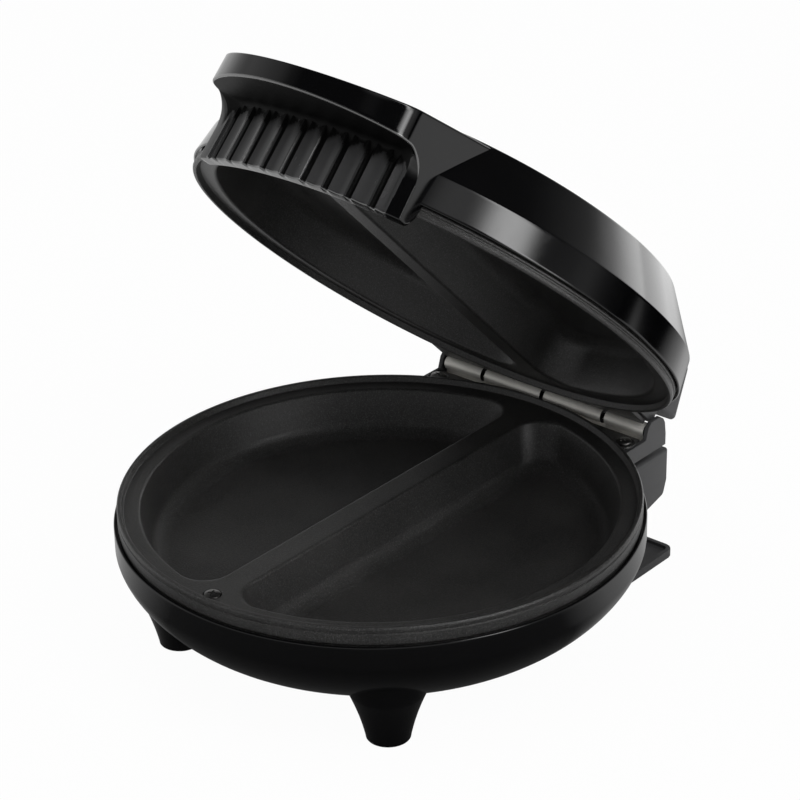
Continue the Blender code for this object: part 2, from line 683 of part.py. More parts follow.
def hinge_deck(carrier, paint):
    """Shelf behind the bowl that carries the hinge, with a cheek at each end of the barrel."""
    top = HINGE_Z + CHEEK_RISE
    shelf = MEETING_HEIGHT - BEAD_DEPTH
    floor = BLOCK_TOP + (DECK_TOP - BLOCK_TOP) * DECK_FLOOR_SHARE
    rear = HINGE_Y + CHEEK_BACK
    front = HINGE_Y - DECK_FRONT_SETBACK * DECK_SLAB_SHARE
    cheek = [
        (HINGE_Y - DECK_FRONT_SETBACK, shelf),
        (front, floor),
        (rear, floor),
        (rear, floor + (shelf - floor) * DECK_SLAB_SHARE),
        (rear - CHEEK_LEAN, HINGE_Z + CHEEK_RISE / 4),
    ]
    cheek += [(HINGE_Y + CHEEK_BACK * along, top - CHEEK_RISE * down) for along, down in CHEEK_CREST_SHARES]
    cheek.append((HINGE_Y - CHEEK_FRONT, shelf))
    inside = BLOCK_HALF_WIDTH - CHEEK_WALL
    cheeks = [
        outline_solid("hinge_deck", cheek, -BLOCK_HALF_WIDTH, -inside, across=True),
        outline_solid("right cheek", cheek, inside, BLOCK_HALF_WIDTH, across=True),
    ]
    slab = box(
        "deck slab",
        (-inside - CHEEK_WALL / 2, front, floor),
        (inside + CHEEK_WALL / 2, rear - CHEEK_LEAN, DECK_TOP),
    )
    core = box(
        "deck core",
        (-inside + DECK_CORE_INSET / 2, front, BLOCK_TOP + GAP),
        (inside - DECK_CORE_INSET / 2, rear - DECK_CORE_INSET, DECK_TOP - CHEEK_WALL / 2),
    )
    clear = rear_round("deck round", 0, MEETING_HEIGHT + OVERRUN)
    span = (BLOCK_TOP, BASE_HEIGHT + OVERRUN)
    holes = [(side * REAR_SCREW_SIDE, REAR_SCREW_Y, HOLE_RADIUS, *span) for side in (-1, 1)]
    drill = rods("deck holes", holes, SCREW_STEPS)
    body = cheeks[0]
    for obj in (*cheeks, slab, core, clear, drill):
        carrier.hold(obj)
    combine(body, "UNION", cheeks[1], slab, core)
    combine(body, "DIFFERENCE", clear, drill)
    return piece(body, paint)


def hinge_leaf(name, up, spans, carrier, paint):
    """Steel leaf under a rear flange, with rolled knuckles round the pin.

    up is -1 for the leaf of the base and 1 for the leaf of the lid; spans are its knuckles' ends.
    """
    near = HINGE_Z - LEAF_LOW if up < 0 else LID_LEAF_TOP - LEAF_THICKNESS
    far = near + up * LEAF_THICKNESS
    low, high = min(near, far), max(near, far)
    half = BARREL_HALF_LENGTH - GAP
    front = REAR_SCREW_Y - SCREW_HEAD_RADIUS
    web_reach = KNUCKLE_RADIUS * KNUCKLE_WEB_SHARE
    body = box(name, (-half, front, low), (half, HINGE_Y, high))
    middle = box(
        name + " middle cut",
        (-half + LEAF_TAB_WIDTH, front - OVERRUN, low - OVERRUN),
        (half - LEAF_TAB_WIDTH, PLATE_BACK, high + OVERRUN),
    )
    rolls = lying_rods(
        name + " knuckles", [(KNUCKLE_RADIUS, *span) for span in spans], KNUCKLE_STEPS, HINGE_Y, HINGE_Z
    )
    webs = [
        box(
            f"{name} web {number}",
            (left, HINGE_Y - KNUCKLE_WEB / 2, min(low, HINGE_Z - web_reach)),
            (right, HINGE_Y + KNUCKLE_WEB / 2, max(high, HINGE_Z + web_reach)),
        )
        for number, (left, right) in enumerate(spans)
    ]
    far_side = HINGE_Z - up * web_reach
    trim = box(
        name + " web trim",
        (-BODY_RADIUS, HINGE_Y - KNUCKLE_WEB, min(far_side, HINGE_Z)),
        (BODY_RADIUS, HINGE_Y + KNUCKLE_WEB, max(far_side, HINGE_Z)),
    )
    bore = lying_rods(
        name + " bore", [(PIN_RADIUS + GAP, -BODY_RADIUS, BODY_RADIUS)], SCREW_STEPS, HINGE_Y, HINGE_Z
    )
    clear = rear_round(name + " round", MEETING_HEIGHT - BODY_RADIUS / 2, MEETING_HEIGHT + BODY_RADIUS / 2)
    span = (low - OVERRUN, high + OVERRUN)
    holes = [(side * REAR_SCREW_SIDE, REAR_SCREW_Y, HOLE_RADIUS, *span) for side in (-1, 1)]
    drill = rods(name + " holes", holes, SCREW_STEPS)
    for web in webs:
        combine(web, "DIFFERENCE", trim)
    combine(body, "DIFFERENCE", middle, clear, drill)
    combine(body, "UNION", *webs, rolls)
    combine(body, "DIFFERENCE", bore)
    for obj in (body, middle, rolls, *webs, trim, bore, clear, drill):
        carrier.hold(obj)
    return piece(body, paint)


def hinge_pin(carrier, paint):
    half = BARREL_HALF_LENGTH + GAP
    obj = lying_rods("hinge_pin", [(PIN_RADIUS, -half, half)], SCREW_STEPS, 0, 0)
    carrier.hold(obj, (0, HINGE_Y, HINGE_Z))
    return piece(obj, paint)


def handle_outline(inset):
    """Plan of the handle: a round front between two rounded corners and two straight sides."""
    half = HANDLE_HALF_WIDTH - inset
    front = HANDLE_FRONT_RADIUS - inset
    corner = HANDLE_CORNER - inset
    centre_y = -BODY_RADIUS - HANDLE_REACH + HANDLE_FRONT_RADIUS
    side_x = half - corner
    drop = math.sqrt((front - corner) ** 2 - side_x**2)
    lean = math.atan2(side_x, drop)
    back = -HANDLE_ROOT
    right = arc((side_x, centre_y - drop), corner, lean - math.pi / 2, 0, CORNER_STEPS)
    left = arc((-side_x, centre_y - drop), corner, math.pi, math.pi * 3 / 2 - lean, CORNER_STEPS)
    middle = arc((0, centre_y), front, -math.pi / 2 - lean, lean - math.pi / 2, BOWL_STEPS * 2)
    return [(-half, back), *left, *middle[1:-1], *right, (half, back)]


def sloped(name, outline, low, drop):
    """A prism whose top follows the handle's top plane, sunk below it by drop."""
    slope = HANDLE_TOP_DROP / (BODY_RADIUS + HANDLE_REACH - HANDLE_ROOT)
    front = LID_TOP - HANDLE_TOP_DROP - drop - GAP / 3
    top = [(x, y, front + slope * (y + BODY_RADIUS + HANDLE_REACH)) for x, y in outline]
    return lofted(name, [[(x, y, low) for x, y in outline], top])


def grip_ceiling(radius):
    """Height of the finger space's sloping ceiling, which ends at the foot of the front band."""
    return LID_TOP - HANDLE_TOP_DROP - HANDLE_BAND + GRIP_SLOPE_SHARE * (radius - BODY_RADIUS - HANDLE_REACH)


def grip_cutter(name, sunk, outer):
    """Finger space: upright behind the flutes, then curving out under a ceiling that slopes up."""
    lean = math.atan(GRIP_SLOPE_SHARE)
    wall = BODY_RADIUS + GRIP_WALL - sunk
    floor = BASE_HEIGHT - OVERRUN
    middle = BODY_RADIUS + GRIP_WALL + GRIP_CURVE
    centre = (middle, grip_ceiling(middle) - GRIP_CURVE / math.cos(lean))
    curve = arc(centre, GRIP_CURVE + sunk, math.pi, math.pi / 2 + lean, BOWL_STEPS)
    ceiling = grip_ceiling(outer) + sunk / math.cos(lean)
    return turned(name, [(outer, ceiling), (outer, floor), (wall, floor), *curve], BODY_STEPS, closed=True)


def grip_grooves(carrier):
    """Grooves between the flutes that the fingers touch, each running out into the ceiling."""
    low = BASE_HEIGHT - 2 * OVERRUN
    near = BODY_RADIUS + GRIP_WALL - 2 * GROOVE_DEPTH
    far = BODY_RADIUS + GROOVE_REACH + OVERRUN
    size = Matrix.Diagonal((GROOVE_WIDTH, far - near, LID_TOP - low, 1))
    place = Matrix.Translation((0, -(near + far) / 2, (low + LID_TOP) / 2))
    form = bmesh.new()
    for number in range(GROOVE_COUNT):
        turn = Matrix.Rotation(GROOVE_PITCH * (number - (GROOVE_COUNT - 1) / 2), 4, "Z")
        bmesh.ops.create_cube(form, size=1, matrix=turn @ place @ size)
    mesh = bpy.data.meshes.new("groove bars")
    form.to_mesh(mesh)
    form.free()
    bars = carrier.hold(mesh_object("groove bars", mesh))
    ring = grip_cutter("grip grooves", GROOVE_DEPTH, BODY_RADIUS + GROOVE_REACH)
    return combine(ring, "INTERSECT", bars)


def lid_block_corners():
    """Corners of the lid's rear block seen from its side, anticlockwise from its lower front one."""
    top = MEETING_HEIGHT + LID_BLOCK_TOP
    rear = HINGE_Y + LID_BLOCK_BACK
    front = BODY_RADIUS - LID_BLOCK_ROOT
    return [(front, LID_BLOCK_BOTTOM), (rear, LID_BLOCK_BOTTOM), (rear - LID_BLOCK_LEAN, top), (front, top)]


def lid_block_outline():
    return rounded(lid_block_corners(), LID_BLOCK_CORNER)


def lid_profile():
    """Outer side of the lid from its top down to its rim."""
    edge = Vector((BODY_RADIUS - LID_BAND_TAPER - LID_TOP_RADIUS, LID_RIM + LID_BAND - LID_TOP)).normalized()
    return [
        (0, LID_TOP),
        (LID_TOP_RADIUS - LID_EDGE, LID_TOP),
        (LID_TOP_RADIUS + edge.x * LID_EDGE / 2, LID_TOP + edge.y * LID_EDGE / 2),
        (BODY_RADIUS - LID_BAND_TAPER, LID_RIM + LID_BAND),
        (BODY_RADIUS, LID_RIM),
    ]


def lid_casing(carrier, paint):
    """Lid shell with its rear block, the handle and the bosses that take its screws."""
    profile = lid_profile()
    body = turned("lid_casing", [*profile, (0, LID_RIM)], BODY_STEPS)
    inner = offset(profile, -CASING_WALL, closed=False)
    inner[-1] = (BODY_RADIUS - CASING_WALL, LID_RIM)
    inner += [(BODY_RADIUS - CASING_WALL, LID_RIM - OVERRUN), (0, LID_RIM - OVERRUN)]
    dome = turned("dome room", inner, BODY_STEPS)
    outline = lid_block_outline()
    block = outline_solid("lid block", outline, -BLOCK_HALF_WIDTH, BLOCK_HALF_WIDTH, across=True)
    room_half = BLOCK_HALF_WIDTH - CASING_WALL
    room_outline = offset(lid_block_corners(), CASING_WALL)
    room = outline_solid("lid block room", room_outline, -room_half, room_half, across=True)
    handle = sloped("handle", handle_outline(0), BASE_HEIGHT + HANDLE_SKIRT_CLEARANCE, 0)
    inside = sloped(
        "handle room",
        handle_outline(CASING_WALL),
        LID_TOP - HANDLE_TOP_DROP - HANDLE_BAND + CASING_WALL,
        CASING_WALL,
    )
    grip = grip_cutter("grip room", 0, BODY_RADIUS + 2 * HANDLE_REACH)
    grooves = grip_grooves(carrier)
    round_back = rods("handle round", [(0, 0, BODY_RADIUS, 0, LID_RIM)], BODY_STEPS)
    combine(handle, "DIFFERENCE", grip, grooves, round_back)
    leaf_clear = LID_LEAF_TOP + GAP
    shield = shield_height(up=1)
    bosses = [(0, -FRONT_SCREW_RADIUS_AT, BOSS_RADIUS, MEETING_HEIGHT + FLANGE_DEPTH + GAP, LID_TOP)]
    shorts = []
    holes = [(0, -FRONT_SCREW_RADIUS_AT, HOLE_RADIUS, LID_RIM - OVERRUN, LID_RIM + SCREW_BITE)]
    for side in (-1, 1):
        rear = (side * REAR_SCREW_SIDE, REAR_SCREW_Y)
        middle = (0, side * SHIELD_SCREW_AT)
        lamp = (side * LAMP_SPACING / 2, -LAMP_FORWARD)
        bosses.append((*middle, BOSS_RADIUS, shield + SHIELD_THICKNESS + GAP, LID_TOP))
        bosses.append((*rear, BOSS_RADIUS, leaf_clear, LID_BLOCK_BOTTOM + SCREW_BITE))
        shorts.append((*rear, BOSS_RADIUS, leaf_clear, LID_BLOCK_BOTTOM + CASING_WALL))
        holes.append((*lamp, LENS_RADIUS + GAP, LID_CEILING - OVERRUN, LID_TOP + OVERRUN))
        holes.append((*rear, HOLE_RADIUS, LID_RIM, LID_BLOCK_BOTTOM + SCREW_BITE / 2))
        holes.append((*middle, HOLE_RADIUS, shield, shield + SMALL_SCREW_BITE))
    pillars = rods("lid pillars", bosses, SCREW_STEPS)
    stubs = rods("lid stubs", shorts, SCREW_STEPS)
    drill = rods("lid holes", holes, SCREW_STEPS)
    combine(dome, "UNION", room, inside)
    combine(dome, "DIFFERENCE", pillars)
    seat = (0, 0, BODY_RADIUS - RIM_LIP, LID_RIM - OVERRUN, LID_RIM + REBATE_DEPTH)
    rebate = rods("lid rebate", [seat], BODY_STEPS)
    notch = box(
        "hinge notch",
        (-REAR_FLANGE_WIDTH / 2 - GAP, HINGE_Y - REAR_FLANGE_ROOT, LID_RIM - OVERRUN),
        (REAR_FLANGE_WIDTH / 2 + GAP, HINGE_Y + REAR_FLANGE_ROOT, leaf_clear),
    )
    combine(body, "UNION", block, handle, stubs)
    combine(body, "DIFFERENCE", dome, rebate, notch, drill)
    shapes = (body, dome, block, room, handle, inside, grip, grooves, round_back, pillars, stubs)
    for obj in (*shapes, rebate, notch, drill):
        carrier.hold(obj)
    return piece(body, paint)


def element_height(up=-1):
    """Height of a heating tube's middle, just past the outside of its plate's pockets."""
    if up < 0:
        return MEETING_HEIGHT - ELEMENT_DROP
    return MEETING_HEIGHT + ELEMENT_DROP + UPPER_POCKET_DEPTH - LOWER_POCKET_DEPTH


def shield_height(up=-1):
    """Lower face of a heat shield's flat."""
    face = element_height(up) + up * (ELEMENT_RADIUS + SHIELD_CLEARANCE)
    return face if up > 0 else face - SHIELD_THICKNESS


def heating_element(name, up, carrier, paint):
    """Sheathed heating tube bent to an open ring under both pockets."""
    curve = bpy.data.curves.new(name, "CURVE")
    curve.dimensions = "3D"
    curve.bevel_depth = ELEMENT_RADIUS
    curve.bevel_resolution = 2
    curve.use_fill_caps = True
    start = math.pi / 2 + ELEMENT_OPENING / 2
    points = arc((0, 0), ELEMENT_RING, start, start + math.tau - ELEMENT_OPENING, ELEMENT_POINTS - 1)
    line = curve.splines.new("POLY")
    line.points.add(len(points) - 1)
    for point, (x, y) in zip(line.points, points):
        point.co = (x, y, 0, 1)
    obj = bpy.data.objects.new(name, curve)
    tools.objects.link(obj)
    carrier.hold(obj, (0, 0, element_height(up)))
    return piece(obj, paint)


def heat_shield(name, up, carrier, paint):
    """Sheet-metal dish between the heating tube and the casing."""
    face = SHIELD_THICKNESS if up < 0 else 0
    near = [(0, face), (SHIELD_RADIUS, face), (SHIELD_RADIUS + SHIELD_FLARE, face - up * SHIELD_RIM)]
    far = offset(near, up * SHIELD_THICKNESS, closed=False)
    outline = near + far[::-1] if up < 0 else far + near[::-1]
    obj = turned(name, outline, SHIELD_STEPS)
    drill = rods(
        name + " holes",
        [(0, side * SHIELD_SCREW_AT, HOLE_RADIUS, -OVERRUN, OVERRUN) for side in (-1, 1)],
        SCREW_STEPS,
    )
    combine(obj, "DIFFERENCE", drill)
    carrier.hold(drill, (0, 0, shield_height(up)))
    carrier.hold(obj, (0, 0, shield_height(up)))
    return piece(obj, paint)


def thermostat(carrier, paint):
    """Disc thermostat with a narrower cap, its face against the underside of the left pocket."""
    radius = THERMOSTAT_RADIUS
    tall = THERMOSTAT_HEIGHT
    top = element_height() + ELEMENT_RADIUS
    cap, step = THERMOSTAT_CAP_SHARES
    outline = [(0, 0), (radius, 0), (radius, -tall * step)]
    outline += [(radius * cap, -tall * step), (radius * cap, -tall), (0, -tall)]
    obj = turned("thermostat", outline, KNUCKLE_STEPS)
    carrier.hold(obj, (-THERMOSTAT_SIDE, 0, top))
    return piece(obj, paint)


def thermal_fuse(carrier, paint):
    """Small fuse can lying against the underside of the right pocket."""
    obj = lying_rods("thermal_fuse", [(FUSE_RADIUS, -FUSE_LENGTH / 2, FUSE_LENGTH / 2)], SCREW_STEPS, 0, 0)
    carrier.hold(obj, (FUSE_SIDE, 0, element_height() + ELEMENT_RADIUS - FUSE_RADIUS))
    return piece(obj, paint)


def terminal_block(carrier, paint):
    """Block on the bowl's floor where the supply leads meet the heating circuit."""
    half = TERMINAL_WIDTH / 2
    obj = box("terminal_block", (-half, 0, 0), (half, TERMINAL_DEPTH, TERMINAL_HEIGHT))
    bevelled(obj, TERMINAL_CHAMFER)
    carrier.hold(obj, (0, TERMINAL_AT - TERMINAL_DEPTH / 2, FLOOR_HEIGHT + CASING_WALL + GAP))
    return piece(obj, paint)


def cord_inlet(carrier, paint):
    """Bushing in the rear wall that the supply cord would enter by."""
    outline = [
        (INLET_BORE, INLET_FLANGE_THICKNESS),
        (INLET_FLANGE - INLET_FLANGE_THICKNESS / 2, INLET_FLANGE_THICKNESS),
        (INLET_FLANGE, INLET_FLANGE_THICKNESS / 2),
        (INLET_FLANGE, 0),
        (INLET_HOLE - GAP, 0),
        (INLET_HOLE - GAP, -CASING_WALL * 2),
        (INLET_BORE, -CASING_WALL * 2),
    ]
    obj = turned("cord_inlet", outline, INLET_STEPS, closed=True)
    carrier.hold(obj, (0, BLOCK_REAR_Y + GAP, INLET_HEIGHT))
    obj.rotation_euler.x = -math.pi / 2
    return piece(obj, paint)


def rear_foot(carrier, paint):
    """Tray on the table and the pedestal above it, round which the cord is wound."""
    half = TRAY_HALF_WIDTH
    corners = [(-half, TRAY_FRONT), (half, TRAY_FRONT), (half, TRAY_BACK), (-half, TRAY_BACK)]
    plan = rounded(corners, TRAY_CORNER)
    floor = FOOT_BOTTOM + TRAY_THICKNESS
    body = outline_solid("rear_foot", plan, FOOT_BOTTOM, floor + TRAY_LIP)
    dish = outline_solid("tray dish", offset(plan, TRAY_LIP_WIDTH), floor, floor + TRAY_LIP + OVERRUN)
    rise = BLOCK_BOTTOM + OVERRUN
    pedestal = box(
        "pedestal",
        (-PEDESTAL_HALF_WIDTH, PEDESTAL_Y - PEDESTAL_DEPTH / 2, FOOT_BOTTOM + TRAY_THICKNESS / 2),
        (PEDESTAL_HALF_WIDTH, PEDESTAL_Y + PEDESTAL_DEPTH / 2, rise),
    )
    bowl = turned("bowl over the pedestal", bowl_profile(0, BASE_HEIGHT), BODY_STEPS)
    block = rear_block("block over the pedestal", 0)
    for obj in (bowl, block):
        carrier.hold(obj, (0, 0, -GAP))
    recess_top = FOOT_BOTTOM + TRAY_THICKNESS + SCREW_HEAD_HEIGHT
    pad_y = TRAY_BACK - REAR_PAD_MARGIN
    holes = []
    recesses = []
    for side in (-1, 1):
        holes.append((side * REAR_PAD_SIDE, pad_y, PAD_RADIUS + GAP, -OVERRUN, PAD_THICKNESS + GAP))
        holes.append((side * FOOT_SCREW_SIDE, PEDESTAL_Y, HOLE_RADIUS, 0, BLOCK_TOP))
        recesses.append((side * FOOT_SCREW_SIDE, PEDESTAL_Y, RECESS_RADIUS, -OVERRUN, recess_top))
    drill = rods("tray holes", holes, SCREW_STEPS)
    sink = rods("tray recesses", recesses, SCREW_STEPS)
    for obj in (body, dish, pedestal, drill, sink):
        carrier.hold(obj)
    combine(body, "DIFFERENCE", dish)
    combine(body, "UNION", pedestal)
    combine(body, "DIFFERENCE", bowl, block, drill, sink)
    return piece(body, paint)


def rubber_pad(name, x, y, carrier, paint):
    obj = rods(name, [(0, 0, PAD_RADIUS, 0, PAD_THICKNESS)], SCREW_STEPS)
    carrier.hold(obj, (x, y, 0))
    return piece(obj, paint)


def lamp_lens(name, side, carrier, paint):
    """Domed lens that shows through the lid, with a lip under it."""
    lip = LENS_RADIUS + LENS_LIP
    low = -CASING_WALL - GAP
    outline = [
        (0, LENS_DOME),
        (LENS_RADIUS * 0.6, LENS_DOME * 0.8),
        (LENS_RADIUS, LENS_DOME / 5),
        (LENS_RADIUS, low),
        (lip, low),
        (lip, low - LENS_LIP_THICKNESS),
        (0, low - LENS_LIP_THICKNESS),
    ]
    obj = turned(name, outline, LENS_STEPS)
    carrier.hold(obj, (side * LAMP_SPACING / 2, -LAMP_FORWARD, LID_TOP))
    return piece(obj, paint)


def lamp_board(carrier, paint):
    """Board with the pilot lamps, close under their lenses."""
    top = LID_CEILING - LENS_LIP_THICKNESS - 2 * GAP
    half = LAMP_SPACING / 2 + LAMP_BOARD_MARGIN
    obj = box(
        "lamp_board",
        (-half, -LAMP_FORWARD - LAMP_BOARD_MARGIN, top - LAMP_BOARD_THICKNESS),
        (half, -LAMP_FORWARD + LAMP_BOARD_MARGIN, top),
    )
    carrier.hold(obj)
    return piece(obj, paint)


def rear_reach():
    """How far back the raised lid's block reaches."""
    across, up = math.cos(LID_ANGLE), math.sin(LID_ANGLE)
    return HINGE_Y + max((y - HINGE_Y) * across + (z - HINGE_Z) * up for y, z in lid_block_outline())


def build():
    start_empty()
    gloss = material("gloss_black", (0.012, 0.012, 0.013), 0.16)
    satin = material("satin_black", (0.03, 0.03, 0.032), 0.42)
    coating = material("nonstick_coating", (0.035, 0.034, 0.034), 0.5, 0.3)
    steel = material("hinge_steel", (0.52, 0.49, 0.46), 0.34, 1.0)
    bright = material("screw_steel", (0.62, 0.62, 0.62), 0.3, 1.0)
    sheet = material("shield_sheet", (0.72, 0.73, 0.74), 0.35, 1.0)
    sheath = material("heater_sheath", (0.2, 0.19, 0.18), 0.5, 1.0)
    rubber = material("rubber", (0.02, 0.02, 0.02), 0.85)
    ceramic = material("ceramic", (0.8, 0.78, 0.72), 0.6)
    red = material("red_lens", (0.7, 0.03, 0.02), 0.2)
    green = material("green_lens", (0.04, 0.5, 0.08), 0.2)
    circuit = material("circuit_board", (0.05, 0.2, 0.08), 0.6)

    middle = (BODY_RADIUS - rear_reach()) / 2
    base = Carrier("base", (0, 0, 0))
    lid = Carrier("lid_hinge", (0, HINGE_Y, HINGE_Z), base)
    base.empty.location = (0, middle, 0)
    lid.empty.rotation_euler.x = -LID_ANGLE

    base_casing(base, gloss)
    hinge_deck(base, satin)
    plate("lower_plate", LOWER_POCKET_DEPTH, -1, PLATE_RISE, base, coating)
    heating_element("lower_element", -1, base, sheath)
    heat_shield("lower_heat_shield", -1, base, sheet)
    thermostat(base, bright)
    thermal_fuse(base, ceramic)
    terminal_block(base, ceramic)
    cord_inlet(base, rubber)
    rear_foot(base, satin)
    outer = BARREL_HALF_LENGTH
    inner = KNUCKLE_SPLIT + KNUCKLE_GAP / 2
    hinge_leaf("hinge_leaf_lower", -1, [(-outer, -inner), (inner, outer)], base, steel)
    hinge_pin(base, bright)
    for side, word in ((-1, "left"), (1, "right")):
        rubber_pad(f"front_pad_{word}", side * FOOT_SIDE, -FOOT_FORWARD, base, rubber)
        rubber_pad(f"rear_pad_{word}", side * REAR_PAD_SIDE, TRAY_BACK - REAR_PAD_MARGIN, base, rubber)

    lid_casing(lid, gloss)
    plate("upper_plate", UPPER_POCKET_DEPTH, 1, LID_RIM_RISE, lid, coating)
    heating_element("upper_element", 1, lid, sheath)
    heat_shield("upper_heat_shield", 1, lid, sheet)
    near = KNUCKLE_GAP / 2
    far = KNUCKLE_SPLIT - KNUCKLE_GAP / 2
    hinge_leaf("hinge_leaf_upper", 1, [(-far, -near), (near, far)], lid, steel)
    lamp_lens("power_lens", -1, lid, red)
    lamp_lens("ready_lens", 1, lid, green)
    lamp_board(lid, circuit)

    flange_low = MEETING_HEIGHT - BEAD_DEPTH
    flange_high = MEETING_HEIGHT + BEAD_DEPTH
    front = (0, -FRONT_SCREW_RADIUS_AT)
    long = SCREW_BITE + REAR_FLANGE_THICKNESS
    screw("lower_plate_screw_front", SCREW_BITE, (*front, flange_low - RECESS_DEPTH), 1, base, bright)
    screw("upper_plate_screw_front", SCREW_BITE, (*front, flange_high + RECESS_DEPTH), -1, lid, bright)
    for side, word in ((-1, "left"), (1, "right")):
        x = side * REAR_SCREW_SIDE
        screw(f"lower_plate_screw_{word}", long, (x, REAR_SCREW_Y, flange_low), 1, base, bright)
        screw(f"upper_plate_screw_{word}", SCREW_BITE, (x, REAR_SCREW_Y, flange_high), -1, lid, bright)
        place = (side * FOOT_SCREW_SIDE, PEDESTAL_Y, FOOT_BOTTOM + TRAY_THICKNESS + SCREW_HEAD_HEIGHT)
        length = FLOOR_HEIGHT + FOOT_BOSS_HEIGHT - place[2] - GAP * 2
        screw(f"foot_screw_{word}", length, place, -1, base, bright)
    for side, word in ((-1, "front"), (1, "rear")):
        y = side * SHIELD_SCREW_AT
        face = shield_height() + SHIELD_THICKNESS
        screw(f"lower_shield_screw_{word}", SMALL_SCREW_BITE, (0, y, face), 1, base, bright)
        screw(f"upper_shield_screw_{word}", SMALL_SCREW_BITE, (0, y, shield_height(up=1)), -1, lid, bright)


build()
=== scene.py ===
# %% [markdown]
# # An electric omelette maker
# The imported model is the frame: every solid in its place, on the two bodies that the hinge
# joins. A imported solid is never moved: it gets a finer finish, or a finer piece stands for it.

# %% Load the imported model
import json
import math

import bmesh
import bpy
from mathutils import Matrix, Vector


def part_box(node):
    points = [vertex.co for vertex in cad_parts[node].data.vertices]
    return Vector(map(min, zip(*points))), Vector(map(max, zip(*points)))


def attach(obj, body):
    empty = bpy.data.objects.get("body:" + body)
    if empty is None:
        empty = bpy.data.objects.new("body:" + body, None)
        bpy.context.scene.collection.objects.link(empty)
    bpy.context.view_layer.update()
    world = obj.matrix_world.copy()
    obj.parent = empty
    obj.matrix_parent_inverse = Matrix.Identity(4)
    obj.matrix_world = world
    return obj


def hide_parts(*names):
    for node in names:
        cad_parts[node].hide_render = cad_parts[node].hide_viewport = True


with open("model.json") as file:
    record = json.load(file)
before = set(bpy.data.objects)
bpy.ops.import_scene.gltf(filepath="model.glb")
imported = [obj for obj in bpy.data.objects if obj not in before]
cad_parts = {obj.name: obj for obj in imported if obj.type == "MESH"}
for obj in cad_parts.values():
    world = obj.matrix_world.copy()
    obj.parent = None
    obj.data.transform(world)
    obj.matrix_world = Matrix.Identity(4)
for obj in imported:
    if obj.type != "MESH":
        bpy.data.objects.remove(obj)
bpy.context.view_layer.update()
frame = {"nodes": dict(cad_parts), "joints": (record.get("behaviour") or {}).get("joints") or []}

scene = bpy.context.scene

# %% [markdown]
# ## Where the pieces stand
# The cooker is two round shells with a hinge behind them. It is far easier to model the lid
# closed, round an upright axis, and to raise it afterwards. So each piece is shaped with the
# axis of the round body at x = y = 0 and the table at z = 0, which is the maker's own place, and
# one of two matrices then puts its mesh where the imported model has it.

# %% Two places: seated on the base, or raised with the lid
MM = 0.001


def mm(*sizes):
    """Millimetres in metres."""
    return tuple(size * MM for size in sizes)


BODY, PLATE, SIDE = mm(110, 108.4, 57.45)
BASE_TOP, MEETING, LID_RIM, LID_TOP = mm(56.5, 64.4, 68.8, 105.5)
OPEN = math.radians(45)

axis_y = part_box("base_casing")[0].y + BODY
pin = Vector(frame["joints"][0]["pos_m"])
HINGE_Y = pin.y - axis_y
HINGE_Z = pin.z
seated = Matrix.Translation((0, axis_y, 0))
raised = Matrix.Translation(pin) @ Matrix.Rotation(-OPEN, 4, "X") @ Matrix.Translation(-pin) @ seated
print("hinge in the maker's place:", round(HINGE_Y / MM, 2), round(HINGE_Z / MM, 2), "mm")

# %% [markdown]
# ## Camera
# The photograph is taken with a long lens from the front right, well above the table. A camera
# that looks along a direction is easiest to set from three arrows: right, up and backwards.

# %% Camera at the photograph's viewing angle
def placed(name, data):
    obj = bpy.data.objects.new(name, data)
    scene.collection.objects.link(obj)
    return obj


LENS = 123.99
SENSOR = 36
CAMERA_PLACE = (0.65384, -0.76713, 0.60949)
forward = Vector((-0.57938, 0.67892, -0.45098)).normalized()
upward = Vector((-0.27887, 0.35479, 0.89239))
rightward = forward.cross(upward).normalized()
upward = rightward.cross(forward)
camera = placed("camera", bpy.data.cameras.new("camera"))
camera.data.lens = LENS
camera.data.sensor_width = SENSOR
turned_to_view = Matrix((rightward, upward, -forward)).transposed().to_4x4()
camera.matrix_world = Matrix.Translation(CAMERA_PLACE) @ turned_to_view
scene.camera = camera
scene.view_settings.view_transform = "Standard"
print("camera:", LENS, "mm lens,", round(Vector(CAMERA_PLACE).length, 2), "m away")

# %% [markdown]
# ## Writing a material as sums
# Every finish here is made of nodes. Laying them by hand hides the sums that they stand for, so
# one small class wraps a node's outlet and turns +, - and * into Math nodes, and one method adds
# any other node. A finish then reads like the sentence that describes it.

# %% A wire that can be added and multiplied, and a paint that adds nodes
class Wire:
    def __init__(self, paint, socket):
        self.paint = paint
        self.socket = socket

    def sum(self, operation, first, second):
        return self.paint.add("Math", {"operation": operation}, {0: first, 1: second})

    def __add__(self, other):
        return self.sum("ADD", self, other)

    def __sub__(self, other):
        return self.sum("SUBTRACT", self, other)

    def __rsub__(self, other):
        return self.sum("SUBTRACT", other, self)

    def __mul__(self, other):
        return self.sum("MULTIPLY", self, other)

    __radd__ = __add__
    __rmul__ = __mul__


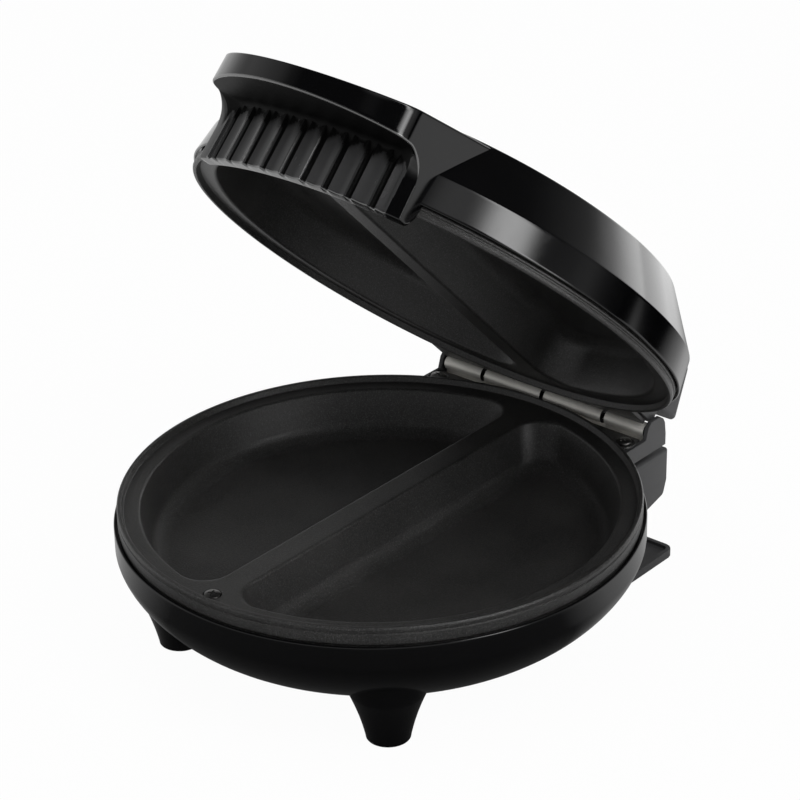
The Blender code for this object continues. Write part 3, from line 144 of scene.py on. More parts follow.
class Paint:
    """A material, or the world, whose nodes are added by one method."""

    def __init__(self, owner):
        self.owner = owner
        owner.use_nodes = True
        self.tree = owner.node_tree
        self.shader = next((n for n in self.tree.nodes if n.type == "BSDF_PRINCIPLED"), None)

    def add(self, kind, settings=None, sockets=None, outlet=0):
        node = self.tree.nodes.new("ShaderNode" + kind)
        for key, value in (settings or {}).items():
            if key == "stops":
                ramp = node.color_ramp
                while len(ramp.elements) < len(value):
                    ramp.elements.new(0.5)
                for element, (place, shade) in zip(ramp.elements, value):
                    element.position = place
                    element.color = (*(shade if isinstance(shade, tuple) else (shade,) * 3), 1)
            else:
                setattr(node, key, value)
        for key, value in (sockets or {}).items():
            self.join(value, node.inputs[key])
        return Wire(self, node.outputs[outlet])

    def join(self, value, socket):
        if isinstance(value, Wire):
            self.tree.links.new(value.socket, socket)
        else:
            socket.default_value = value

    def set(self, **sockets):
        for key, value in sockets.items():
            self.join(value, self.shader.inputs[key.replace("_", " ").title().replace("Ior", "IOR")])

    def mix(self, share, first, second):
        return self.add("Mix", {"data_type": "RGBA"}, {0: share, 6: first, 7: second}, outlet=2)

    def dot(self, first, second):
        return self.add("VectorMath", {"operation": "DOT_PRODUCT"}, {0: first, 1: second}, "Value")

    def ray(self, kind):
        return self.add("LightPath", outlet=f"Is {kind} Ray")

    def noise(self, scale, detail=2, stretch=(1, 1, 1), rough=0.5):
        point = self.add("TexCoord", outlet="Object")
        point = self.add("Mapping", None, {"Vector": point, "Scale": stretch})
        sockets = {"Vector": point, "Scale": scale, "Detail": detail, "Roughness": rough}
        return self.add("TexNoise", None, sockets)

    def ramp(self, value, *stops):
        return self.add("ValToRGB", {"stops": stops}, {"Fac": value})

    def tones(self, value, colour, *stops):
        """A ramp through darker and lighter tones of one colour."""
        return self.ramp(value, *((at, tuple(min(c * share, 1) for c in colour)) for at, share in stops))

    def bump(self, height, strength, depth):
        return self.add("Bump", None, {"Height": height, "Strength": strength, "Distance": depth})


def finish(name, colour, roughness, metallic=0.0, **fixed):
    material = bpy.data.materials.new(name)
    paint = Paint(material)
    paint.set(base_color=(*colour, 1), roughness=roughness, metallic=metallic, **fixed)
    return paint


print("ways to make a finish: Wire, Paint, finish")

# %% [markdown]
# ## Floor
# Gloss black plastic has almost no colour of its own: what it shows is the room round it. To the
# camera the floor is white, and to what isn't glossy it is a matte sheet that keeps the shadow.
# Only gloss sees it dark close to the cooker, light further out, dark far off at the rear right,
# and brightest behind. Its parts are ramps on the distance and on the bearing.

# %% Arrow helper and floor
def toward(turn, height):
    """Arrow to a compass turn from the front and a height, both in degrees."""
    turn, height = math.radians(turn), math.radians(height)
    flat = math.cos(height)
    return Vector((math.sin(turn) * flat, -math.cos(turn) * flat, math.sin(height)))


FLOOR_HALF = 6
WHITE_TO_CAMERA = 0.97
floor_paint = finish("pale_floor", (0.9, 0.9, 0.9), 0.9)
spot = floor_paint.add("TexCoord", outlet="Object")
away = floor_paint.add("VectorMath", {"operation": "LENGTH"}, {0: spot}, outlet="Value")
bearing_arrow = floor_paint.add("VectorMath", {"operation": "NORMALIZE"}, {0: spot})


def round_turn(turn, *stops):
    """A ramp on the bearing: its stops are cosines of the angle from a compass turn."""
    return floor_paint.ramp(floor_paint.dot(bearing_arrow, toward(turn, 0)), *stops)


def from_middle(*stops, scale=1):
    """A ramp on the distance from the middle, in metres times scale, because a ramp ends at 1."""
    return floor_paint.ramp(away * scale if scale != 1 else away, *stops)


front_part = from_middle((0.12, 0.05), (0.26, 0.12), (0.5, 0.85))
rear_part = from_middle((0.1, 0.25), (0.22, 0.9))
share = round_turn(140, (0.7, 0.0), (0.91, 1.0)) + round_turn(-85, (0.55, 0.0), (0.95, 0.85))
dark_near = round_turn(148, (0.963, 0.0), (0.973, 1.0)) * from_middle((0.15, 0.0), (0.24, 1.0), scale=0.5)
dark_far = round_turn(132, (0.93, 0.0), (0.965, 1.0)) * from_middle((0.3, 0.0), (0.42, 1.0), scale=0.25)
behind = round_turn(180, (0.86, 0.0), (0.96, 1.0)) * from_middle((0.35, 0.0), (0.7, 1.2))
# Painted reflection: gloss sees painted shade close to the cooker and far off at the rear right, and
# painted light behind
sheen = (front_part + share * (rear_part - front_part)) * (1 - dark_near) * (1 - dark_far) + behind

mirrored = floor_paint.ray("Glossy")
tone = floor_paint.mix(mirrored, (1, 1, 1, 1), sheen)
glow = floor_paint.add("Emission", None, {"Color": tone, "Strength": 1.0})
matte = Wire(floor_paint, floor_paint.shader.outputs[0])
unlit = (floor_paint.ray("Camera") + floor_paint.ray("Transmission")) * WHITE_TO_CAMERA + mirrored
floor_out = next(n for n in floor_paint.tree.nodes if n.type == "OUTPUT_MATERIAL")
covered = floor_paint.add("MixShader", None, {0: unlit, 1: matte, 2: glow})
floor_paint.join(covered, floor_out.inputs["Surface"])


def as_mesh(name, form):
    mesh = bpy.data.meshes.new(name)
    form.to_mesh(mesh)
    form.free()
    return mesh


sheet = bmesh.new()
bmesh.ops.create_grid(sheet, x_segments=2, y_segments=2, size=FLOOR_HALF)
floor = placed("floor", as_mesh("floor", sheet))
floor.data.materials.append(floor_paint.owner)
print("floor:", FLOOR_HALF * 2, "m wide,", len(floor_paint.tree.nodes), "nodes")

# %% [markdown]
# ## Room
# The photograph's room is white low down and dark overhead. A tall soft panel high on the right
# draws the patch on the lid's side and the line on the handle's corner, a weak one stands on the
# left, and a dark patch at the rear right blackens the lid's far end. Area lamps would give them
# hard edges, so they are painted into the world as soft ovals, which only reflections see.

# %% Room with soft oval panels
SOFT_EDGE = ((0.0, 1.0), (0.22, 0.8), (0.55, 0.25), (1.0, 0.0))
SOFT_GREY = (0.42, 0.42, 0.42, 1)
UP = Vector((0, 0, 1))

world = Paint(bpy.data.worlds.new("studio"))
scene.world = world.owner
background = next(n for n in world.tree.nodes if n.type == "BACKGROUND")
direction = world.add("TexCoord", outlet="Generated")


def panel(turn, height, wide, tall, level):
    """An oval of light with soft edges; wide and tall are half angles in degrees."""
    ahead = toward(turn, height)
    across = UP.cross(ahead).normalized()
    sideways = world.dot(direction, across) * (1 / math.sin(math.radians(wide)))
    upright = world.dot(direction, ahead.cross(across)) * (1 / math.sin(math.radians(tall)))
    oval = world.ramp(sideways * sideways + upright * upright, *SOFT_EDGE)
    return oval * world.ramp(world.dot(direction, ahead), (0.0, 0.0), (0.05, 1.0)) * level


low_white = world.ramp(
    world.dot(direction, UP), (0.0, 0.95), (0.12, 0.8), (0.34, 0.25), (0.6, 0.04), (1.0, 0.03)
)
right_panels = panel(90.5, 42, 9.5, 26, 9.5) + panel(92, 16, 11, 12, 7.5) + panel(66, 63, 17, 13, 0.85)
left_panel = panel(-78, 34, 34, 28, 0.45)
low_behind = panel(182, -4, 26, 25, 2.4)
room = low_white * (1 - panel(133, 2, 36, 20, 1.0)) + right_panels + left_panel + low_behind
pictured = world.ray("Glossy") + world.ray("Transmission") + world.ray("Camera")
world.join(world.mix(pictured, SOFT_GREY, room), background.inputs["Color"])
background.inputs["Strength"].default_value = 1.0
print("room:", len(world.tree.nodes), "nodes")

# %% [markdown]
# ## Lamps
# What isn't glossy is lit by two plain area lamps at the places of the panels, which reflections
# don't see.

# %% Lamps for what isn't glossy
MIDDLE = Vector((0, 0, 0.12))


def lamp(name, turn, height, distance, width, tall, radiance):
    light = bpy.data.lights.new(name, "AREA")
    light.shape = "RECTANGLE"
    light.size = width
    light.size_y = tall
    light.energy = radiance * math.pi * width * tall
    obj = placed(name, light)
    obj.location = MIDDLE + toward(turn, height) * distance
    obj.rotation_euler = toward(turn, height).to_track_quat("Z", "Y").to_euler()
    obj.visible_camera = False
    obj.visible_glossy = False


lamp("right_softbox", 80, 44, 1.5, 0.72, 0.55, 5.0)
lamp("overhead_fill", 10, 72, 1.8, 1.6, 1.6, 0.9)
print("lamps:", len(bpy.data.lights))

# %% [markdown]
# ## The finishes
# The photograph shows five: gloss black plastic on the shells, a satin black one at the rear, the
# grainy dark coating of the plates, brushed steel at the hinge, and plated screws. Each has a
# fine texture at its real scale. Moulded plastic has wide clouds and hair scuffs, which change
# its roughness, and a faint ripple and a fine grain, which change its height: four noises, whose
# scales are waves for a metre. The ribs under the grip fade into painted shade towards the scoop,
# and the scoop itself is painted shade: a near-black copy of the plastic with little shine. That
# shade follows the surface, so the mesh carries it as an attribute. The lip's bright edge is a
# painted highlight.

# %% Plastics and rubber
WIDE, RIPPLE, HAIR, GRAIN = 38, 90, 420, 2600
HAIR_STRETCH = (1, 0.12, 0.5)
JET, SHADE_BLACK, RIB_GREY = (0.0015, 0.0015, 0.0018), (0.003, 0.003, 0.003), (0.044, 0.044, 0.045)


def plastic(name, colour, roughness, ripple, grain, scuff, bend=1.46, shine=0.5, fades=False):
    paint = finish(name, colour, roughness, ior=bend, specular_ior_level=shine)
    wide = paint.noise(WIDE, 3)
    hairs = paint.ramp(paint.noise(HAIR, 4, HAIR_STRETCH, 0.6), (0.52, 0.0), (0.78, 1.0))
    paint.set(roughness=roughness - scuff / 2 + wide * scuff + hairs * (scuff * 0.6))
    height = paint.noise(RIPPLE, 1) * ripple + paint.noise(GRAIN) * grain
    # Painted shade: with fades, the colour goes to near black where the mesh's attribute says
    if fades:
        shelter = paint.add("Attribute", {"attribute_name": "shelter"}, outlet="Fac")
        tint = paint.mix(shelter * 0.9 + paint.noise(260) * 0.1, (*colour, 1), (*SHADE_BLACK, 1))
    else:
        tint = paint.tones(wide, colour, (0.3, 0.8), (0.75, 1.25))
    paint.set(base_color=tint, normal=paint.bump(height, 1.0, MM))
    return paint.owner


gloss = plastic("gloss_black_plastic", JET, 0.12, 0.012, 0.0012, 0.05)
grip_gloss = plastic("grip_black_plastic", JET, 0.09, 0.008, 0.002, 0.04)
grip_rib = plastic("grip_rib_plastic", RIB_GREY, 0.24, 0.008, 0.01, 0.08, fades=True)
# Painted shade: a near-black, matte copy of the grip plastic with little shine, for the scoop
grip_shade = plastic("scoop_painted_shade_plastic", SHADE_BLACK, 0.5, 0.008, 0.01, 0.08, shine=0.12)
# Painted highlight: a lighter copy of the plastic with a high IOR, for bright lines on the edges
grip_highlight_edge = plastic("highlight_edge_plastic", (0.02, 0.02, 0.02), 0.2, 0.004, 0.001, 0.05, 2.3)
satin = plastic("satin_black_plastic", (0.05, 0.05, 0.052), 0.42, 0.01, 0.022, 0.10)
rubber = plastic("black_rubber", (0.02, 0.02, 0.02), 0.8, 0.02, 0.03, 0.1)
print("materials:", len(bpy.data.materials))

# %% [markdown]
# ## Coating of the plates
# The coating is sprayed on and baked, so it has fine grit, soft clouds and a few bright flecks.
# The grit feeds colour, roughness and height alike, so that the same grain is seen in all three.

# %% Coating of the plates
GRIT, CLOUD, FLECK = 1300, 24, 2600


def coated(name):
    paint = finish(name, (0.045, 0.045, 0.045), 0.5, ior=1.5)
    grit = paint.noise(GRIT, 3, rough=0.75)
    cloud = paint.noise(CLOUD, 3)
    fleck = paint.ramp(paint.noise(FLECK, 1), (0.58, 0.0), (0.70, 1.0))
    low, high = (0.008, 0.008, 0.008), (0.040, 0.039, 0.038)
    shade = paint.ramp(cloud * 0.35 + grit * 0.65, (0.36, low), (0.64, high))
    paint.set(base_color=paint.mix(fleck * 0.6, shade, (0.12, 0.12, 0.12, 1)))
    paint.set(roughness=0.27 + grit * 0.2 + cloud * 0.08, normal=paint.bump(grit, 0.9, 0.16 * MM))
    return paint.owner


coating = coated("nonstick_coating")
print("coating:", coating.name)

# %% [markdown]
# ## Metals
# Rolled steel has fine lines along its length: a noise that is stretched one way. The hinge has
# dulled in use, so its steel is partly matte.

# %% Metals
def metal(name, colour, roughness, stretch=(1, 1, 1), lines=0.25, scale=700, metallic=1.0):
    paint = finish(name, colour, roughness, metallic)
    brushed = paint.noise(scale, 4, stretch, 0.65)
    tint = paint.tones(paint.noise(60, 3) * 0.5 + brushed * 0.5, colour, (0.25, 0.72), (0.75, 1.16))
    paint.set(base_color=tint, roughness=roughness - 0.1 + brushed * 0.2)
    paint.set(normal=paint.bump(brushed, lines, 0.05 * MM))
    return paint.owner


hinge_steel = metal("brushed_hinge_steel", (0.90, 0.86, 0.81), 0.55, (0.05, 1, 1), metallic=0.5)
# Painted shade: near-black steel for the pin and the knuckles' cut ends, so the slits read dark
slit_shade_steel = metal("painted_slit_shade_steel", (0.03, 0.03, 0.03), 0.5)
screw_steel = metal("blackened_screw_steel", (0.24, 0.235, 0.23), 0.36, lines=0.12)
shield_sheet = metal("bright_shield_sheet", (0.72, 0.73, 0.74), 0.36, (1, 0.06, 1))
sheath = metal("heat_darkened_sheath", (0.2, 0.19, 0.18), 0.5)
print("materials:", len(bpy.data.materials))

# %% [markdown]
# ## Lenses, ceramic and board
# A lens is tinted plastic under a clear coat, with a fine wave that scatters the lamp's light.

# %% Lenses, ceramic and board
def lens(name, colour):
    paint = finish(name, colour, 0.12, coat_weight=0.6, coat_roughness=0.05)
    rings = paint.noise(900)
    tint = paint.tones(rings, colour, (0.3, 0.55), (0.7, 1.25))
    paint.set(base_color=tint, normal=paint.bump(rings, 0.3, 0.1 * MM))
    return paint.owner


red_lens = lens("red_lens_plastic", (0.62, 0.03, 0.02))
green_lens = lens("green_lens_plastic", (0.04, 0.42, 0.07))
ceramic = plastic("pale_ceramic", (0.8, 0.78, 0.72), 0.6, 0.02, 0.02, 0.1)
board = plastic("lacquered_board", (0.05, 0.2, 0.08), 0.5, 0.01, 0.01, 0.1)
print("materials:", len(bpy.data.materials))

# %% [markdown]
# ## Shared ways to make a mesh
# Most pieces are turned, as on a lathe: a half section spun round the axis. A few are a plan
# drawn through several levels, like the pockets. The corners of a section are rounded before it
# is spun, because an edge with no radius catches no light.

# %% Helpers: a rounded section, a turned form, and a finished piece
def eased(corners, steps=4, closed=False):
    """Rounds the (across, up, radius) corners of a section."""
    made = []
    count = len(corners)
    for i, (across, up, radius) in enumerate(corners):
        here = Vector((across, up))
        if not radius or (not closed and i in (0, count - 1)):
            made.append((across, up))
            continue
        back = (Vector(corners[i - 1][:2]) - here).normalized()
        on = (Vector(corners[(i + 1) % count][:2]) - here).normalized()
        half = math.acos(max(-1, min(1, back.dot(on)))) / 2
        centre = here + (back + on).normalized() * radius / math.sin(half)
        start = here + back * radius / math.tan(half) - centre
        end = here + on * radius / math.tan(half) - centre
        sweep = math.atan2(start.x * end.y - start.y * end.x, start.dot(end))
        for k in range(steps + 1):
            turn = Matrix.Rotation(sweep * k / steps, 2)
            point = centre + turn @ start
            made.append((point.x, point.y))
    return made


def outward(form):
    bmesh.ops.recalc_face_normals(form, faces=form.faces)


def of_kind(found, kind):
    return [element for element in found if isinstance(element, kind)]


def turned(section, steps=160, closed=False):
    """Spins a half section of (radius, height) points round the upright axis."""
    form = bmesh.new()
    verts = [form.verts.new((radius, 0, height)) for radius, height in section]
    pairs = list(zip(verts, verts[1:]))
    if closed:
        pairs.append((verts[-1], verts[0]))
    edges = [form.edges.new(pair) for pair in pairs]
    bmesh.ops.spin(
        form, geom=verts + edges, cent=(0, 0, 0), axis=(0, 0, 1), dvec=(0, 0, 0),
        angle=math.tau, steps=steps, use_merge=True,
    )
    bmesh.ops.remove_doubles(form, verts=form.verts, dist=1e-7)
    outward(form)
    return form


def piece(name, form, paint, body, place=None, stands_for=(), sharp=32):
    """Turns a form into a finished piece that rides on a body."""
    mesh = as_mesh(name, form)
    mesh.transform(place or (raised if body == "lid" else seated))
    mesh.shade_smooth()
    mesh.set_sharp_from_angle(angle=math.radians(sharp))
    mesh.materials.append(paint)
    obj = placed(name, mesh)
    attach(obj, body)
    if stands_for:
        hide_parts(*stands_for)
    mesh.calc_loop_triangles()
    print(f"{name}: {len(mesh.loop_triangles)} triangles")
    return obj


def prism(outline, low, high, width=0.0, segments=3):
    """A (y, z) outline carried from x = low to x = high, with its end edges rounded."""
    form = bmesh.new()
    face = form.faces.new([form.verts.new((low, y, z)) for y, z in outline])
    grown = bmesh.ops.extrude_face_region(form, geom=[face], use_keep_orig=True)
    new = of_kind(grown["geom"], bmesh.types.BMVert)
    bmesh.ops.translate(form, verts=new, vec=(high - low, 0, 0))
    outward(form)
    if width:
        ends = [e for e in form.edges if abs(e.verts[0].co.x - e.verts[1].co.x) < 1e-9]
        bmesh.ops.bevel(
            form, geom=ends, offset=width, offset_type="OFFSET", affect="EDGES",
            segments=segments, profile=0.5, material=-1, clamp_overlap=True,
        )
    return form


def gathered(whole, *others):
    """Puts several forms into the first one."""
    for other in others:
        mesh = as_mesh("part", other)
        whole.from_mesh(mesh)
        bpy.data.meshes.remove(mesh)
    return whole


def hugging(outline, half, width, segments, radius_at, slices=28):
    """A prism whose front (all its corners at the least y) follows the round body inside it."""
    form = prism(outline, -half, half, width, segments)
    for k in range(1, slices):
        everything = form.verts[:] + form.edges[:] + form.faces[:]
        cut_at = (half * (2 * k / slices - 1), 0, 0)
        bmesh.ops.bisect_plane(form, geom=everything, plane_co=cut_at, plane_no=(1, 0, 0))
    front = min(y for y, _ in outline)
    for vert in form.verts:
        if vert.co.y < front + width * 1.01:
            vert.co.y += math.sqrt(radius_at(vert.co.z) ** 2 - vert.co.x**2) - front
    outward(form)
    return form


def softened(node, name, paint, width, body, segments=3, angle=35):
    """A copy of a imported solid, merged, with its sharp edges rounded by a Bevel modifier."""
    form = bmesh.new()
    form.from_mesh(frame["nodes"][node].data)
    bmesh.ops.remove_doubles(form, verts=form.verts, dist=1e-6)
    bmesh.ops.dissolve_limit(form, angle_limit=math.radians(1), verts=form.verts, edges=form.edges)
    obj = piece(name, form, paint, body, Matrix(), (node,), sharp=angle)
    bevel = obj.modifiers.new("rounding", "BEVEL")
    bevel.width = width
    bevel.segments = segments
    bevel.limit_method = "ANGLE"
    bevel.angle_limit = math.radians(angle)
    bevel.use_clamp_overlap = True
    return obj


print("ways to make a mesh: turned, prism, hugging, gathered, softened")

# %% [markdown]
# ## The bowl
# The lower shell is a moulding with a flat floor, a full round flank and an upright band at the
# rim. It could be cut from a sphere, but a spun section gives the exact flank and a real wall,
# and the small radius at the rim that draws its bright line.

# %% Bowl with its wall
def flank(inner, low, outer, high, steps=20, fullness=1.47):
    """A full curve from the rim down to the flat floor."""
    power = 2 / fullness
    line = []
    for i in range(steps + 1):
        angle = math.pi / 2 * (1 - i / steps)
        across = inner + (outer - inner) * math.sin(angle) ** power
        line.append((across, high - (high - low) * math.cos(angle) ** power))
    return line


WALL, FLOOR, FLAT = mm(2.5, 18, 80)
BAND_START = BASE_TOP - 10 * MM
LEDGE = BASE_TOP - 2 * MM
outside = flank(FLAT, FLOOR, BODY, BAND_START)[::-1]
inside = flank(FLAT, FLOOR + WALL, BODY - WALL, BAND_START)
rim = eased([
    (BODY, BAND_START, 0), (BODY, BAND_START + MM, 0), (BODY, BASE_TOP - 1.5 * MM, 0),
    (BODY, BASE_TOP, 0.5 * MM), (BODY - MM, BASE_TOP, 0.3 * MM),
    (BODY - MM, LEDGE, 0), (BODY - WALL, LEDGE, 0), (BODY - WALL, BAND_START, 0),
])
section = [(0, FLOOR), *outside[:-1], *rim[:-1], *inside, (0, FLOOR + WALL)]
piece("bowl", turned(section, 192), gloss, "base", stands_for=("base_casing",))

# %% [markdown]
# ## Front feet
# Two round feet are moulded with the bowl and flare into it like the bell of a trumpet. A foot is
# a spun curve; it runs on up into the bowl, so no gap can show round the flare.

# %% Front feet and their pads
FOOT_X, FOOT_Y = mm(56.856, -63.589)
REAR_PAD_X, REAR_PAD_Y = mm(50.95, 112.5)
STEM, FLARE = mm(9.1, 7.2)
FOOT_STEPS = 16
PAD, PAD_TOP = mm(6.2, 2.2)


def foot_section():
    line = [mm(0, 0.9), mm(6.0, 0.9)]
    line += eased([mm(6.0, 0.6, 0), (STEM, *mm(0.6, 0.8)), (STEM, 3 * MM, 0)])[1:-1]
    for i in range(FOOT_STEPS + 1):
        up = i / FOOT_STEPS
        line.append((STEM + FLARE * (0.62 * up + 0.38 * up**2), (1.6 + 22.4 * up) * MM))
    return line + [mm(16.9, 33), mm(0, 33)]


def pad(name, x, y, node):
    section = eased([(0, 0, 0), (PAD, 0, 0.5 * MM), (PAD, PAD_TOP, 0), (0, PAD_TOP, 0)])
    place = seated @ Matrix.Translation((x, y, 0))
    return piece(name, turned(section, 40), rubber, "base", place, (node,))


for side, word in ((-1, "left"), (1, "right")):
    place = seated @ Matrix.Translation((side * FOOT_X, FOOT_Y, 0))
    piece(f"front_foot_{word}", turned(foot_section(), 72), gloss, "base", place)
    pad(f"front_rubber_{word}", side * FOOT_X, FOOT_Y, f"front_pad_{word}")
    pad(f"rear_rubber_{word}", side * REAR_PAD_X, REAR_PAD_Y, f"rear_pad_{word}")

# %% [markdown]
# ## Rear blocks
# Behind the bowl a hollow block carries the hinge, and the lid has a block of its own above it.
# Both are satin, with rounded corners that catch a broad soft light. A drawn outline is carried
# sideways and bevelled at its ends, and the side that meets the round shell is then pushed out
# until it lies just inside the skin.

# %% Base block, its deck and the rear foot
INTO_WALL = 1.2 * MM
rear = HINGE_Y + 12.5 * MM
BLOCK_LOW, BLOCK_HIGH, FRONT_MARK = mm(25.9, 51.5, 70)


def skin_radius(line, height):
    """Radius just inside a shell's outer face at a height; line is its section from below."""
    for (low_r, low), (high_r, high) in zip(line, line[1:]):
        if height <= high:
            return low_r + (high_r - low_r) * max(0, height - low) / (high - low) - INTO_WALL
    return line[-1][0] - INTO_WALL


def front_side(start, end, steps):
    """The side of an outline that will follow the shell."""
    return [(FRONT_MARK, start + (end - start) * k / steps, 0) for k in range(steps + 1)]


block_outline = eased([
    *front_side(BLOCK_HIGH, BLOCK_LOW, 12), (110 * MM, BLOCK_LOW, 2 * MM),
    (rear - 2.4 * MM, 29.1 * MM, 3 * MM), (rear, 36.1 * MM, 3 * MM), (rear, BLOCK_HIGH, 1.3 * MM),
], closed=True)
housing = hugging(block_outline, SIDE, 1.6 * MM, 4, lambda height: skin_radius(outside, height))
piece("rear_housing", housing, satin, "base")
softened("hinge_deck", "hinge_shelf", satin, 0.5 * MM, "base")
softened("rear_foot", "cord_wrap_foot", satin, 0.5 * MM, "base")

# %% [markdown]
# ## Lid block
# The lid's block leans in towards its top and clears the deck when the lid stands fully open.
# Two thin lips under it close the view between the block and the hinge.

# %% Lid block and the lips under it
lid_rear = HINGE_Y + 14 * MM
LID_LOW, LID_HIGH = HINGE_Z + 10.5 * MM, MEETING + 33.5 * MM
LIP_TOP = 76 * MM
dome_line = [(BODY, LID_RIM), mm(108, 82.5), (90.5 * MM, LID_TOP)]

lid_block_outline = eased([
    *front_side(LID_LOW, LID_HIGH, 8)[::-1], (lid_rear, LID_LOW, 2.2 * MM),
    (lid_rear - 9.5 * MM, LID_HIGH, 3 * MM),
], closed=True)
lid_block = hugging(lid_block_outline, SIDE, 2.2 * MM, 5, lambda height: skin_radius(dome_line, height))
piece("lid_housing", lid_block, satin, "lid")
for name, half, rear_at, low in (
    ("lid_hinge_mount", *mm(52, 107.6, 66.85)), ("lid_hinge_lip", *mm(55.1, 112.4, 67.5)),
):
    outline = eased([
        (FRONT_MARK, low, 0), (rear_at, low, 0.4 * MM), (rear_at, LIP_TOP, 0), (FRONT_MARK, LIP_TOP, 0),
    ], closed=True)
    lip = hugging(outline, half, 0.4 * MM, 3, lambda height: PLATE + 0.2 * MM)
    piece(name, lip, satin, "lid")

# %% [markdown]
# ## The lid's dome
# The upper shell is an upright band, a straight cone above it and a flat top, spun with its real
# wall. The crease is crisp and the edge of the top twice as soft. Smooth shading would spread
# those small curves, so a point just inside each end of a straight run holds it flat.

# %% Dome
def held(start, end):
    """Two points just inside the ends of a straight run."""
    start, end = Vector(start), Vector(end)
    step = (end - start).normalized() * 1.2 * MM
    return [(*(start + step), 0), (*(end - step), 0)]


rim_edge, crease, crown_edge = dome_line
INNER_CREASE, INNER_CROWN = mm(105.6, 81.5), (88.8 * MM, LID_TOP - WALL)
RIM_STEP = LID_RIM + 2 * MM
dome_section = eased([
    (0, LID_TOP, 0), *held((0, LID_TOP), crown_edge), (*crown_edge, 1.4 * MM), *held(crown_edge, crease),
    (*crease, 0.7 * MM), *held(crease, rim_edge), (*rim_edge, 0.5 * MM), (BODY - MM, LID_RIM, 0.2 * MM),
    (BODY - MM, RIM_STEP, 0), (BODY - WALL, RIM_STEP, 0), (*INNER_CREASE, 0), (*INNER_CROWN, 0),
    (0, LID_TOP - WALL, 0),
])
piece("lid_dome", turned(dome_section, 192), gloss, "lid", stands_for=("lid_casing",))

# %% [markdown]
# ## The handle
# The handle is moulded with the lid: a slab that juts out at the front, scooped out below so that
# four fingers fit behind a thin front band, with upright flutes for grip. Cutting the scoop
# with a Boolean leaves slivers that can't be rounded. Instead the handle is one grid that is bent
# into place: one way it runs round the body, the other way round a section whose corners are
# already rounded. The plan comes first: two arcs and a slightly slanting side.

# %% Plan of the handle, seen from the body's axis
REACH, FRONT, CORNER, GRIP = mm(141.5, 68.6, 12, 115.8)
SKIRT, HALF, HALF_AT = mm(58.7, 50.9, 100)
SIDE_SLANT = 0.10

side_normal = Vector((1, -SIDE_SLANT)).normalized()
swing = FRONT - CORNER
front_centre = Vector((0, FRONT - REACH))
wanted = side_normal.dot(Vector((HALF, -HALF_AT)) - front_centre) - CORNER
sweep = math.asin(wanted / swing) - math.atan(SIDE_SLANT)
corner_centre = front_centre + Vector((math.sin(sweep), -math.cos(sweep))) * swing


def bearing(point):
    return math.atan2(point.x, -point.y)


corner_start = bearing(corner_centre + Vector((math.sin(sweep), -math.cos(sweep))) * CORNER)
corner_end = bearing(corner_centre + side_normal * CORNER)


def reach_at(turn):
    """How far the handle's plan reaches from the body's axis at a turn from the front."""
    turn = abs(turn)
    if turn > corner_end:
        return (HALF + SIDE_SLANT * HALF_AT) / (math.sin(turn) + SIDE_SLANT * math.cos(turn))
    along = Vector((math.sin(turn), -math.cos(turn)))
    centre, radius = (front_centre, FRONT) if turn < corner_start else (corner_centre, CORNER)
    ahead = along.dot(centre)
    return ahead + math.sqrt(ahead**2 - centre.length_squared + radius**2)


print("handle corners:", [round(math.degrees(turn), 1) for turn in (corner_start, corner_end)], "degrees")

# %% [markdown]
# ## The handle's grip
# Under the front band the wall has nine upright grooves with dished ribs between them, and the
# scoop's ceiling meets it in a cove. Each is a small function of the turn from the front.

# %% Grooves, ribs and the scoop under the band
BAND_LOW = 83.9 * MM
PITCH, GROOVES_ASIDE = math.radians(5), 4
GROOVE_HALF, GROOVE_DEEP, DISH = mm(1.6, 2.0, 0.75)


def eased_step(low, high, value):
    share = min(1, max(0, (value - low) / (high - low)))
    return share * share * (3 - 2 * share)


def groove_at(turn):
    """How far the wall lies behind its ridges."""
    nearest = max(-GROOVES_ASIDE, min(GROOVES_ASIDE, round(turn / PITCH)))
    aside = abs(turn - nearest * PITCH) * GRIP
    if aside < GROOVE_HALF:
        return GROOVE_DEEP * (1 - (aside / GROOVE_HALF) ** 2.5)
    middle = PITCH * GRIP / 2
    if abs(turn) > (GROOVES_ASIDE + 0.5) * PITCH:
        return 0
    return DISH * math.sin(math.pi / 2 * min(1, (aside - GROOVE_HALF) / (middle - GROOVE_HALF)))


def cove_at(turn):
    """Radius between the wall and the ceiling: small over the flutes, large at the scoop's ends."""
    return (5.0 + 6.5 * eased_step(19.5, 24.5, abs(math.degrees(turn)))) * MM


def rib_painted_shade_at(turn, height):
    """How far a rib fades into painted shade: 0 on its face, 1 near the ceiling, sooner at its sides."""
    aside = abs(turn / PITCH - math.floor(turn / PITCH) - 0.5) * 2
    return eased_step(-6.0 * MM, -1.5 * MM, height - BAND_LOW + 5.0 * MM * aside)


def under_grip(reach, face, turn):
    """The scoop's ceiling and its curve down to the wall, from the outer edge inwards."""
    cove = cove_at(turn)
    middle = GRIP - GROOVE_DEEP * (1 - eased_step(20.5, 24, abs(math.degrees(turn)))) + cove
    ceiling = BAND_LOW - 0.03 * max(0, reach - middle)
    line = [Vector((reach, BAND_LOW))] if reach > middle else []
    first = math.pi / 2 if reach > middle else math.acos(max(-1, (reach - middle) / cove))
    last = math.acos(max(-1, min(1, (face - middle) / cove)))
    for k in range(25):
        angle = first + (max(last, first) - first) * k / 24
        line.append(Vector((middle + cove * math.cos(angle), ceiling - cove + cove * math.sin(angle))))
    return line


print("grooves:", 2 * GROOVES_ASIDE + 1, "at", round(PITCH * GRIP / MM, 1), "mm")

# %% [markdown]
# ## The handle's section
# The section runs from the top over the front edge, down the front, round the lip, along the
# scoop, down the wall to the lower end, and back inside the lid. Each run always has the same
# number of points, so a row of the grid lies on one run, whatever the turn.

